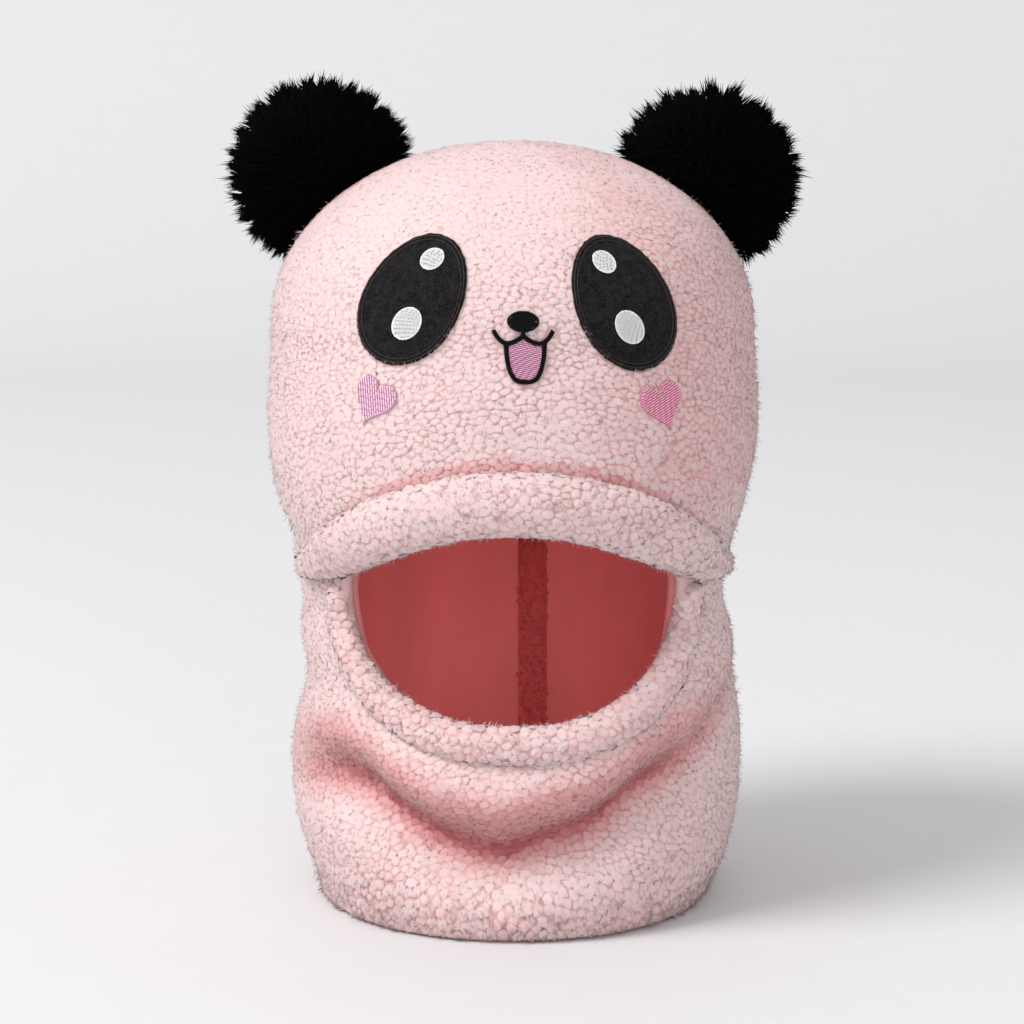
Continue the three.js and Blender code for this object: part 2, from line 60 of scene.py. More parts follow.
# The hood's body, as its solids have it.
BODY_HEIGHT = SHELL_HIGH.z
HEAD_WIDTH = 0.175
FACE_DEPTH = 0.096
BACK_DEPTH = 0.092
SHOULDER_HEIGHT = 0.205
CROWN_POWER = 2.08
HEAD_LEAN = math.radians(1)
SET_BACK = SHELL_LOW.y + FACE_DEPTH
FLEECE_WALL = 0.0032
LINING_WALL = 0.0012
SEAT_GAP = 0.00035
LINING_HEM_RISE = 0.004
LAYERS = FLEECE_WALL + SEAT_GAP + LINING_WALL

# The hole for the wearer's face and what binds it.
OPENING_WIDTH = 0.116
OPENING_CORNER_HEIGHT = 0.120
OPENING_RISE = 0.028
OPENING_DROP = 0.048
BRIM_SPAN = 0.146
BRIM_RISE = 0.0058
BRIM_DROOP = 0.031

# The sections from the hem to the crown's shoulder, as shares: of the height, of half the width to
# the left and right, of the face's depth, of the back's depth, and how square the section is.
SECTIONS = np.array([
    (0.0, 0.8, 0.8, 0.87, 0.8, 2.1),
    (0.03, 0.815, 0.835, 0.895, 0.84, 2.1),
    (0.06, 0.85, 0.88, 0.91, 0.87, 2.1),
    (0.12, 0.915, 0.92, 0.91, 0.9, 2.1),
    (0.18, 0.935, 0.935, 0.9, 0.92, 2.1),
    (0.24, 0.885, 0.935, 0.89, 0.92, 2.1),
    (0.3, 0.848, 0.91, 0.885, 0.91, 2.1),
    (0.36, 0.872, 0.888, 0.89, 0.905, 2.15),
    (0.4, 0.86, 0.855, 0.9, 0.905, 2.15),
    (0.44, 0.885, 0.867, 0.925, 0.91, 2.15),
    (0.49, 0.902, 0.9, 0.95, 0.925, 2.15),
    (0.53, 0.95, 0.94, 0.97, 0.945, 2.2),
    (0.58, 0.985, 0.972, 0.995, 0.97, 2.2),
    (0.64, 1.0, 0.995, 1.0, 0.99, 2.2),
    (0.7, 0.99, 0.985, 0.99, 1.0, 2.2),
    (0.76, 0.985, 0.975, 0.965, 0.99, 2.2),
])

# The deep fold round the neck: degrees from the front towards +X, its height as a share of the
# body's, and its depth as a share of the face's.
NECK_FOLD = np.array([
    (-180, 0.235, 0.0),
    (-115, 0.175, 0.0),
    (-90, 0.17, 0.015),
    (-70, 0.176, 0.05),
    (-52, 0.193, 0.09),
    (-38, 0.186, 0.115),
    (-27, 0.153, 0.125),
    (-15, 0.125, 0.135),
    (-4, 0.114, 0.14),
    (8, 0.13, 0.135),
    (20, 0.149, 0.13),
    (32, 0.19, 0.11),
    (47, 0.218, 0.085),
    (62, 0.25, 0.055),
    (85, 0.285, 0.01),
    (115, 0.285, 0.0),
    (180, 0.235, 0.0),
])
FOLD_REACH_ABOVE = 0.1
FOLD_REACH_BELOW = 0.15
FOLD_BULGE_SHARE = 0.4
FOLD_BULGE_RISE = 0.2
FOLD_BULGE_REACH = 0.12

# How the cloth's facets lie, and how far its lower edge is turned in.
FRONT_CROWDING = 0.2
CROWN_ARC = 0.118
HEM_TURN = 0.0022

# The fleece's pile. A parted clump's round top stands DOME_RISE over its border. WAD_CLUMPS of them mat
# into one wad, with no deep crevice between them. Wads are WAD_STRETCH wider than they are tall.
DOME_RISE = 0.0007
WAD_CLUMPS = 6.0
WAD_STRETCH = (1.0, 1.0, 2.3)
CLUMP_SHARE = 0.86  # of the clump size, on the hood
PILE_DENSITY = 0.58e6  # hairs to the square metre
ROLL_PILE_DENSITY = 0.9e6
EAR_FUR_DENSITY = 3.2e6
STRIP_PILE_DENSITY = 1.4e6

# Heights between the parts that the hood's pile is made in.
CROWN_LINE = 0.232
BROW_LINE = 0.185
CHEEK_LINE = 0.115
SKIRT_LINE = 0.055
NAPE_LINE = 0.13
NECK_TUFT_LINE = 0.1

# Pile that would reach lower than this is squeezed, so that it stays above the floor.
NEAR_FLOOR = 0.001
FLOOR_SOFTNESS = 0.004


def read_table(table, place):
    """The rows of a table at places between its rows, by a smooth curve through them."""
    keys = table[:, 0]
    last = len(keys) - 1
    place = np.clip(place, keys[0], keys[-1])
    i = np.clip(np.searchsorted(keys, place, side="right") - 1, 0, last - 1)
    before, after = np.maximum(i - 1, 0), np.minimum(i + 2, last)
    share = ((place - keys[i]) / (keys[i + 1] - keys[i]))[..., None]
    rise = table[i + 1] - table[i]
    start = (table[i + 1] - table[before]) / 2
    end = (table[after] - table[i]) / 2
    return (
        table[i]
        + share * start
        + share**2 * (3 * rise - 2 * start - end)
        + share**3 * (start + end - 2 * rise)
    )


def fold_row(angle):
    """The neck fold's height and depth, in metres, at an angle round the body."""
    wrapped = np.degrees(np.arctan2(np.sin(angle), np.cos(angle)))
    row = read_table(NECK_FOLD, wrapped)
    return row[..., 1] * BODY_HEIGHT, row[..., 2] * FACE_DEPTH


def fold_at(angle, height):
    """How far the neck fold moves the surface out: in along its line and out above it."""
    fold_height, depth = fold_row(angle)
    above = (height - fold_height) / FACE_DEPTH
    reach = np.where(above > 0, FOLD_REACH_ABOVE, FOLD_REACH_BELOW)
    dent = np.exp(-((above / reach) ** 2))
    bulge = np.exp(-(((above - FOLD_BULGE_RISE) / FOLD_BULGE_REACH) ** 2))
    return depth * (FOLD_BULGE_SHARE * bulge - dent)


def travel_at(height):
    """The travel over the body, 0 at the hem, 1 at the shoulder and 2 at the top, that reaches a
    height."""
    share = np.clip((height - SHOULDER_HEIGHT) / (BODY_HEIGHT - SHOULDER_HEIGHT), 0, 1)
    crown = 1 + np.arcsin(share ** (CROWN_POWER / 2)) / (math.pi / 2)
    return np.where(height <= SHOULDER_HEIGHT, height / SHOULDER_HEIGHT, crown)


def body_point(angle, travel):
    """A point of the body's surface. The angle turns from the front towards +X."""
    angle, travel = np.broadcast_arrays(np.asarray(angle, float), np.asarray(travel, float))
    closing = np.clip(travel - 1, 0, 1) * math.pi / 2
    crown = np.sin(closing) ** (2 / CROWN_POWER) * (BODY_HEIGHT - SHOULDER_HEIGHT)
    height = np.minimum(travel, 1) * SHOULDER_HEIGHT + crown
    shrink = np.maximum(np.cos(closing), 0) ** (2 / CROWN_POWER)
    row = read_table(SECTIONS, np.minimum(travel, 1) * SECTIONS[-1, 0])
    sin, cos = np.sin(angle), np.cos(angle)
    half_width = np.where(sin > 0, row[..., 2], row[..., 1]) * HEAD_WIDTH / 2
    depth = np.where(cos > 0, row[..., 3] * FACE_DEPTH, row[..., 4] * BACK_DEPTH)
    power = row[..., 5]
    outline = (np.abs(sin) / half_width) ** power + (np.abs(cos) / depth) ** power
    radius = outline ** (-1 / power) * shrink + np.where(travel < 1, fold_at(angle, height), 0)
    return np.stack([radius * sin, SET_BACK - radius * cos, height], -1)


def unit(vectors):
    """The vectors at length one."""
    return vectors / np.maximum(np.linalg.norm(vectors, axis=-1, keepdims=True), 1e-12)


def body_normal(angle, travel):
    """The outward direction of the body's surface."""
    step = 1e-3
    round_body = body_point(angle + step, travel) - body_point(angle - step, travel)
    up_body = body_point(angle, travel + step) - body_point(angle, travel - step)
    top = np.asarray(travel) > 1.97
    return np.where(top[..., None], (0.0, 0.0, 1.0), unit(np.cross(round_body, up_body)))


def off_body(angle, travel, lift):
    """A point that stands off the body's surface, outwards where the lift is positive."""
    return body_point(angle, travel) + body_normal(angle, travel) * np.asarray(lift)[..., None]


def face_angle(x, height):
    """The angle at which the body's front is seen at x and height."""
    travel = travel_at(height)
    low = np.full(np.shape(travel), -math.pi / 2)
    high = -low
    for _ in range(26):
        middle = (low + high) / 2
        left_of = body_point(middle, travel)[..., 0] < x
        low = np.where(left_of, middle, low)
        high = np.where(left_of, high, middle)
    return low


def off_face(x, height, lift):
    """A point off the body that is seen at x and height from the front."""
    x, height, lift = np.broadcast_arrays(x, height, lift)
    return off_body(face_angle(x, height), travel_at(height), lift)


def squared(value, power):
    """A sine or cosine whose curve is squarer the further the power is below 1."""
    return np.sign(value) * np.abs(value) ** power


def opening_point(turn, grow):
    """The face hole's outline seen from the front, as x and height, from its right corner up and
    over."""
    cos, sin = np.cos(turn), np.sin(turn)
    above = sin > 0
    reach = np.where(above, OPENING_RISE, OPENING_DROP) + grow
    x = (OPENING_WIDTH / 2 + grow) * squared(cos, 0.85)
    height = OPENING_CORNER_HEIGHT + reach * squared(sin, np.where(above, 1, 0.85))
    return np.stack([x, height], -1)


def inside_outline(outline, spots):
    """Which spots lie inside a closed outline, both as x and height."""
    inside = np.zeros(len(spots), bool)
    x, height = spots[:, 0], spots[:, 1]
    for (x0, h0), (x1, h1) in zip(outline, np.roll(outline, -1, axis=0)):
        if h0 == h1:
            continue
        crosses = (h0 > height) != (h1 > height)
        inside ^= crosses & (x < x0 + (height - h0) * (x1 - x0) / (h1 - h0))
    return inside


# Meshes


class Shape:
    """Points and faces that become one mesh. Faces are arrays of corner numbers, one array for each
    corner count."""

    def __init__(self, points, faces, soft=None):
        self.points = np.asarray(points, float)
        self.soft = soft
        self.faces = [np.asarray(each, np.int64) for each in faces if len(each)]

    def triangles(self):
        """Every face as a fan of triangles."""
        fans = []
        for each in self.faces:
            for k in range(1, each.shape[1] - 1):
                fans.append(each[:, [0, k, k + 1]])
        return np.concatenate(fans)

    def normals(self):
        """The outward direction at each point."""
        tris = self.triangles()
        a, b, c = (self.points[tris[:, k]] for k in range(3))
        flat = np.cross(b - a, c - a)
        total = np.zeros_like(self.points)
        for k in range(3):
            for axis in range(3):
                total[:, axis] += np.bincount(tris[:, k], flat[:, axis], len(self.points))
        return unit(total)


def joined(shapes):
    """Several shapes as one."""
    points, faces, start = [], [], 0
    for shape in shapes:
        points.append(shape.points)
        faces += [each + start for each in shape.faces]
        start += len(shape.points)
    widths = sorted({each.shape[1] for each in faces})
    return Shape(
        np.concatenate(points),
        [np.concatenate([each for each in faces if each.shape[1] == width]) for width in widths],
    )


def make_piece(name, shape, material, tone=None, stands_for=()):
    """Links a shape as one piece of the hood. The tone says how far up the pile each point is, and is
    lowered where shade is painted.
    """
    used, index = np.unique(np.concatenate([each.ravel() for each in shape.faces]), return_inverse=True)
    widths = [np.full(len(each), each.shape[1]) for each in shape.faces]
    counts = np.concatenate(widths)
    mesh = bpy.data.meshes.new(name)
    mesh.vertices.add(len(used))
    mesh.vertices.foreach_set("co", shape.points[used].astype(np.float32).ravel())
    mesh.loops.add(len(index))
    mesh.loops.foreach_set("vertex_index", index.astype(np.int32))
    mesh.polygons.add(len(counts))
    starts = np.concatenate([[0], np.cumsum(counts)[:-1]])
    mesh.polygons.foreach_set("loop_start", starts.astype(np.int32))
    mesh.update(calc_edges=True)
    mesh.polygons.foreach_set("use_smooth", np.full(len(counts), True))
    values = np.full(len(used), 0.6) if tone is None else np.asarray(tone, float)[used]
    mesh.attributes.new("tone", "FLOAT", "POINT").data.foreach_set("value", values.astype(np.float32))
    if shape.soft is not None:
        mesh.normals_split_custom_set_from_vertices(shape.soft[used].astype(np.float32))
    mesh.materials.append(material)
    piece = bpy.data.objects.new(name, mesh)
    bpy.context.scene.collection.objects.link(piece)
    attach(piece, "root")
    if stands_for:
        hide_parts(*stands_for)
    return piece


def scatter(shape, density, rng):
    """Points spread at random over a shape's triangles, with their outward directions."""
    tris = shape.triangles()
    a, b, c = (shape.points[tris[:, k]] for k in range(3))
    area = np.linalg.norm(np.cross(b - a, c - a), axis=1) / 2
    ends = np.cumsum(area)
    count = int(ends[-1] * density)
    pick = np.minimum(np.searchsorted(ends, rng.random(count) * ends[-1]), len(tris) - 1)
    u, v = rng.random(count), rng.random(count)
    flip = u + v > 1
    u, v = np.where(flip, 1 - u, u), np.where(flip, 1 - v, v)
    shares = np.stack([1 - u - v, u, v], 1)[..., None]
    normals = shape.normals()
    return (
        (shape.points[tris[pick]] * shares).sum(1),
        unit((normals[tris[pick]] * shares).sum(1)),
    )


def tree_of(points):
    """A search tree over points."""
    tree = kdtree.KDTree(len(points))
    for i, point in enumerate(points):
        tree.insert(point, i)
    tree.balance()
    return tree


def thinned(points, distances):
    """The numbers of points that are left when each keeps the others its own distance away."""
    tree = tree_of(points)
    free = np.ones(len(points), bool)
    kept = []
    for i, point in enumerate(points):
        if free[i]:
            kept.append(i)
            for _, near, _ in tree.find_range(point, distances[i]):
                free[near] = False
    return np.array(kept)


class Clumps:
    """The tufts that a fleece's pile gathers into, over one shape. `warp` maps points so that tufts
    come out longer one way, `lay` gives the way the pile lies at points, `curl` how much that turns
    from tuft to tuft, and `spread` how many times further apart than `size` they are."""

    def __init__(self, shape, size, warp, lay, curl, rng, spread=None):
        self.warp = warp
        points, normals = scatter(shape, 5 / size**2, rng)
        kept = thinned(warp(points), size * (spread(points) if spread else np.ones(len(points))))
        self.points, self.normals = points[kept], normals[kept]
        self.warped = warp(self.points)
        self.tree = tree_of(self.warped)
        count = len(kept)
        along = lay(self.points, self.normals)
        across = np.cross(self.normals, along)
        turn = rng.normal(0, 1, count) * curl(self.points)
        self.lay = along * np.cos(turn)[:, None] + across * np.sin(turn)[:, None]
        self.tone = rng.normal(0, 1, count)
        self.length = 1 + rng.normal(0, 0.12, count)
        seeds = self.warped[rng.random(count) < 1 / WAD_CLUMPS] * WAD_STRETCH
        wads = tree_of(seeds)
        strayed = (self.warped + rng.normal(0, size * 0.45, (count, 3))) * WAD_STRETCH
        self.wad = np.array([wads.find(point)[1] for point in strayed])
        self.tone += 0.8 * rng.normal(0, 1, len(seeds))[self.wad]

    def find(self, points):
        """The clump that each point belongs to, and how far that clump reaches there."""
        found = [self.tree.find_n(point, 2) for point in self.warp(points)]
        distances = np.array([[near[2], after[2]] for near, after in found])
        return np.array([near[1] for near, _ in found]), np.maximum(distances.mean(1), 1e-5)

    def dome(self, which, reach, points, normals):
        """How high points lie on their clump's round top, from 1 in its middle to 0 at its border,
        and its slope."""
        out = points - self.points[which]
        out = unit(out - normals * (out * normals).sum(1)[:, None])
        share_out = np.linalg.norm(self.warp(points) - self.warped[which], axis=1) / reach
        return np.clip(1 - share_out**2, -0.5, 1), out * np.minimum(share_out, 1.2)[:, None]

    def borders(self, chosen, sides, rng):
        """Directions round each chosen clump, how far off its neighbours' border lies that way, and
        whether the neighbour there is of another wad, as 1 or 0."""
        points, normals, along = self.points[chosen], self.normals[chosen], self.lay[chosen]
        turn = np.arange(sides) * 2 * math.pi / sides + rng.uniform(0, 1, (len(chosen), 1))
        across = np.cross(normals, along)
        ways = along[:, None] * np.cos(turn)[..., None] + across[:, None] * np.sin(turn)[..., None]
        step = 1e-4
        ahead = self.warp((points[:, None] + ways * step).reshape(-1, 3)).reshape(ways.shape)
        warped_ways = (ahead - self.warped[chosen][:, None]) / step
        near = np.array([[each[1] for each in self.tree.find_n(self.warped[i], 13)[1:]] for i in chosen])
        gaps = self.warped[near] - self.warped[chosen][:, None]
        towards = np.einsum("njk,nmk->njm", gaps, warped_ways)
        reach = (gaps**2).sum(-1)[..., None] / 2 / np.maximum(towards, 1e-9)
        nearest = np.take_along_axis(near, reach.argmin(1), 1)
        apart = (self.wad[nearest] != self.wad[chosen][:, None]).astype(float)
        return ways, 1.04 * (reach**-13).sum(1) ** (-1 / 13), apart


def above_floor(points):
    """The points, with those near the floor or under it squeezed to just above it."""
    squeezed = NEAR_FLOOR * np.exp((points[..., 2] - NEAR_FLOOR) / FLOOR_SOFTNESS)
    height = np.where(points[..., 2] < NEAR_FLOOR, squeezed, points[..., 2])
    return np.stack([points[..., 0], points[..., 1], height], -1)


def tufts(clumps, chosen, parting, deeper, widest, sides, rng):
    """The round tops of some clumps: low closed domes, with thin crevices between neighbours.
    Returns their shape and their tone, with shade painted in: by `deeper` in the folds, and at
    each dome's foot in the crevices."""
    points, normals = clumps.points[chosen], clumps.normals[chosen]
    ways, reach, apart = clumps.borders(chosen, sides, rng)
    reach = np.minimum(reach, widest)[..., None] * (1 + rng.normal(0, 0.07, (*ways.shape[:2], 1)))
    rise = (DOME_RISE * (0.35 + 0.65 * parting) * (1 + rng.normal(0, 0.2, len(chosen))))[:, None, None]
    parted = parting[:, None] * (0.28 + 0.72 * apart)
    up = normals[:, None]
    out = ways * parted[..., None]
    top = points[:, None] + up * rise
    shoulder = points[:, None] + ways * reach * (0.82 - 0.08 * apart[..., None]) + up * rise * 0.8
    sunk = np.where(apart[..., None] > 0, -0.0003, rise * 0.4)
    foot = points[:, None] + ways * reach * 1.1 + up * sunk
    bottom = points[:, None] - up * 0.0005
    soft = unit(np.concatenate([up, up + 0.3 * out, up + 0.8 * out, -up], 1))
    # `deeper` is painted shade; the tone falls at the foot, as painted shade in the crevices.
    pale = 0.9 + 0.05 * clumps.tone[chosen][:, None] - deeper[:, None]
    tone = np.concatenate([pale, pale - 0.06 * parted, pale - 0.44 * parted, pale], 1)
    k = np.arange(sides)
    after = (k + 1) % sides
    inner, outer, last = 1, 1 + sides, 1 + 2 * sides
    faces = np.concatenate([
        np.stack([np.zeros(sides, int), inner + k, inner + after], 1),
        np.stack([inner + k, outer + k, outer + after], 1),
        np.stack([inner + k, outer + after, inner + after], 1),
        np.stack([outer + k, np.full(sides, last), outer + after], 1),
    ])
    tris = (np.arange(len(chosen)) * (last + 1))[:, None, None] + faces[None]
    points = above_floor(np.concatenate([top, shoulder, foot, bottom], 1))
    shape = Shape(points.reshape(-1, 3), [tris.reshape(-1, 3)], soft.reshape(-1, 3))
    return shape, tone.ravel()


class Coat:
    """How the hairs of a coat are, each value for every hair: their length and width, how steeply
    they stand and how far they lean, as shares of their length, how strongly they part into clumps
    and how far they gather."""

    def __init__(self, count, length, width, stand, lean, parting=0.0, gather=0.0):
        self.length = np.full(count, length, float)
        self.width = np.full(count, width, float)
        self.stand = np.full(count, stand, float)
        self.lean = np.full(count, lean, float)
        self.parting = np.full(count, parting, float)
        self.gather = np.full(count, gather, float)

    def part(self, mask):
        """The coat of some of the hairs."""
        return Coat(
            int(mask.sum()),
            self.length[mask],
            self.width[mask],
            self.stand[mask],
            self.lean[mask],
            self.parting[mask],
            self.gather[mask],
        )

    def fluff(self, share_of_hairs, rng):
        """Lets some hairs stand out thinly from the rest."""
        loose = rng.random(len(self.length)) < share_of_hairs
        self.stand[loose] = 0.85
        self.lean[loose] = 0.45
        self.width[loose] *= 0.55


def pile(roots, normals, clumps, coat, rng, lay=None):
    """Hairs as closed four-cornered slivers that lie over the round tops of their clumps and dip
    between them. Returns their shape and their tone, which is low at the root and between the
    clumps, as painted shade."""
    count = len(roots)
    which, reach = clumps.find(roots)
    lay = unit((clumps.lay[which] if lay is None else lay) + rng.normal(0, 0.22, (count, 3)))
    lay = unit(lay - normals * (lay * normals).sum(1)[:, None])
    grow = coat.length * clumps.length[which] * (1 + rng.normal(0, 0.12, count))
    run = (grow * coat.lean)[:, None]
    rise = DOME_RISE * coat.parting
    (low, low_slope), (middle, middle_slope), (high, high_slope) = (
        clumps.dome(which, reach, roots + lay * run * place, normals) for place in (0, 0.5, 1)
    )
    foot = roots + normals * (rise * low * 0.7 - 0.0003)[:, None]
    tips = roots + lay * run + normals * (grow * coat.stand + rise * high)[:, None]
    together = clumps.points[which] + clumps.lay[which] * run
    together = together + normals * (grow * coat.stand * 1.1)[:, None]
    tips += (together - tips) * coat.gather[:, None] + rng.normal(0, 0.07, (count, 3)) * grow[:, None]
    axis = unit(tips - foot)
    side = unit(np.cross(axis, normals) + rng.normal(0, 0.15, (count, 3)))
    side = unit(side - axis * (side * axis).sum(1)[:, None])
    half = (coat.width * (1 + rng.normal(0, 0.2, count)) / 2)[:, None]
    swell = 0.1 * grow + rise * np.maximum(middle - (0.7 * low + high) / 2, 0)
    belly = (foot + tips) / 2 + normals * swell[:, None]
    points = np.stack([foot - side * half, foot + side * half, tips, belly], 1)
    points = above_floor(points)
    corners = np.array([(0, 1, 3), (0, 3, 2), (3, 1, 2), (0, 2, 1)])
    tris = ((np.arange(count) * 4)[:, None, None] + corners[None]).reshape(-1, 3)
    a, b, c = (points[0, corners[0][k]] for k in range(3))
    if np.dot(np.cross(b - a, c - a), points[0, 2] - a) > 0:
        tris = tris[:, ::-1]
    steep = (1.1 * rise / reach)[:, None]
    soft = [unit(normals + steep * slope) for slope in (low_slope, low_slope, high_slope, middle_slope)]
    # Painted shade: lower tones at the roots and low on the domes, between the clumps.
    levels = [
        level + 0.3 * coat.parting * (dome - 0.6)
        for level, dome in ((0.62, low), (0.62, low), (0.95, high), (0.8, middle))
    ]
    tone = np.stack(levels, 1) + 0.04 * clumps.tone[which][:, None] + rng.normal(0, 0.05, (count, 1))
    return Shape(points.reshape(-1, 3), [tris], np.stack(soft, 1).reshape(-1, 3)), tone.ravel()


def hood_wall(columns, rows, step, fine, coarse, inward):
    """A closed hollow wall of the hood with the face hole in it: faceted finely on the side that
    shows, and `step` times more coarsely on the other. `fine` and `coarse` give points at angles
    and travels. Returns the shape and how many of its points are on the fine side."""
    turns = np.arange(columns) * 2 * math.pi / columns
    angles = turns - FRONT_CROWDING * np.sin(turns)
    arc = np.linspace(0, SHOULDER_HEIGHT + CROWN_ARC, rows + 1)
    side = arc <= SHOULDER_HEIGHT
    travels = np.where(side, arc / SHOULDER_HEIGHT, 1 + 0.97 * (arc - SHOULDER_HEIGHT) / CROWN_ARC)
    travels[0] = -1e-4
    a, t = np.meshgrid(angles, travels, indexing="ij")
    spots = body_point(a, t)[..., [0, 2]]
    hole = opening_point(np.linspace(0, 2 * math.pi, 241)[:-1], 0.0004)
    in_hole = inside_outline(hole, spots.reshape(-1, 2)).reshape(a.shape) & (np.cos(a) > 0)

    blocks = (columns // step, rows // step)
    kept = np.ones(blocks, bool)
    for di in range(step + 1):
        for dj in range(step + 1):
            i = (np.arange(blocks[0]) * step + di) % columns
            j = np.arange(blocks[1]) * step + dj
            kept &= ~in_hole[np.ix_(i, j)]

    fine_points = fine(a.ravel(), t.ravel())
    ca, ct = a[::step, ::step].ravel(), t[::step, ::step].ravel()
    coarse_points = coarse(ca, ct)
    low_row = blocks[1] + 1
    tops = [fine(np.zeros(1), np.array([2.0])), coarse(np.zeros(1), np.array([2.0]))]
    points = [fine_points, coarse_points, *tops]
    coarse_start = len(fine_points)
    top_start = coarse_start + len(coarse_points)

    def fine_at(i, j):
        return (np.asarray(i) % columns) * (rows + 1) + j

    def coarse_at(i, j):
        return coarse_start + (np.asarray(i) % blocks[0]) * low_row + j

    quads, fans, triangles = [], [], []
    bi, bj = np.nonzero(kept)
    for di in range(step):
        for dj in range(step):
            i, j = bi * step + di, bj * step + dj
            around = (i, j), (i + 1, j), (i + 1, j + 1), (i, j + 1)
            quads.append(np.stack([fine_at(*corner) for corner in around], 1))
    around = (bi, bj), (bi, bj + 1), (bi + 1, bj + 1), (bi + 1, bj)
    quads.append(np.stack([coarse_at(*corner) for corner in around], 1))

    i = np.arange(columns)
    triangles.append(np.stack([fine_at(i, rows), fine_at(i + 1, rows), np.full(columns, top_start)], 1))
    i = np.arange(blocks[0])
    inner_top = np.full(blocks[0], top_start + 1)
    triangles.append(np.stack([coarse_at(i + 1, blocks[1]), coarse_at(i, blocks[1]), inner_top], 1))
    hem = [fine_at(i * step + k, 0) for k in range(step, -1, -1)]
    fans.append(np.stack([*hem, coarse_at(i, 0), coarse_at(i + 1, 0)], 1))

    edges, ends = [], []
    for di, dj, path in (
        (1, 0, [(step, k) for k in range(step + 1)]),
        (-1, 0, [(0, step - k) for k in range(step + 1)]),
        (0, 1, [(step - k, step) for k in range(step + 1)]),
        (0, -1, [(k, 0) for k in range(step + 1)]),
    ):
        beside = kept[(bi + di) % blocks[0], np.clip(bj + dj, 0, blocks[1] - 1)]
        at = ~beside
        corners = [fine_at(bi[at] * step + x, bj[at] * step + y) for x, y in path]
        edges.append(np.stack(corners, 1))
        first, last = path[0], path[-1]
        ends.append(np.stack([
            coarse_at(bi[at] + first[0] // step, bj[at] + first[1] // step),
            coarse_at(bi[at] + last[0] // step, bj[at] + last[1] // step),
        ], 1))
    edges, ends = np.concatenate(edges), np.concatenate(ends)
    rim, index = np.unique(edges, return_inverse=True)
    index = index.reshape(edges.shape)
    edge_outline = opening_point(np.linspace(0, 2 * math.pi, 1441)[:-1], 0)
    gap = spots.reshape(-1, 2)[rim][:, None] - edge_outline[None]
    seat = edge_outline[np.argmin((gap**2).sum(-1), axis=1)]
    seat_angle, seat_travel = face_angle(seat[:, 0], seat[:, 1]), travel_at(seat[:, 1])
    near_start = top_start + 2
    far_start = near_start + len(rim)
    points += [fine(seat_angle, seat_travel), coarse(seat_angle, seat_travel)]
    near, far = index + near_start, index + far_start
    for k in range(step):
        quads.append(np.stack([edges[:, k + 1], edges[:, k], near[:, k], near[:, k + 1]], 1))
        quads.append(np.stack([near[:, k + 1], near[:, k], far[:, k], far[:, k + 1]], 1))
    fans.append(np.concatenate([far[:, ::-1], ends], 1))

    faces = [np.concatenate(triangles), np.concatenate(quads), np.concatenate(fans)]
    if inward:
        faces = [each[:, ::-1] for each in faces]
    return Shape(np.concatenate(points), faces), coarse_start


# Shader maths


class Value:
    """A socket that carries numbers, so that shader maths reads as Python."""

    def __init__(self, shader, socket):
        self.shader = shader
        self.socket = socket

    def combine(self, operation, first, second):
        return self.shader.number("Math", {"operation": operation}, i0=first, i1=second)

    def __add__(self, other):
        return self.combine("ADD", self, other)

    def __radd__(self, other):
        return self.combine("ADD", other, self)

    def __sub__(self, other):
        return self.combine("SUBTRACT", self, other)

    def __rsub__(self, other):
        return self.combine("SUBTRACT", other, self)

    def __mul__(self, other):
        return self.combine("MULTIPLY", self, other)

    def __rmul__(self, other):
        return self.combine("MULTIPLY", other, self)


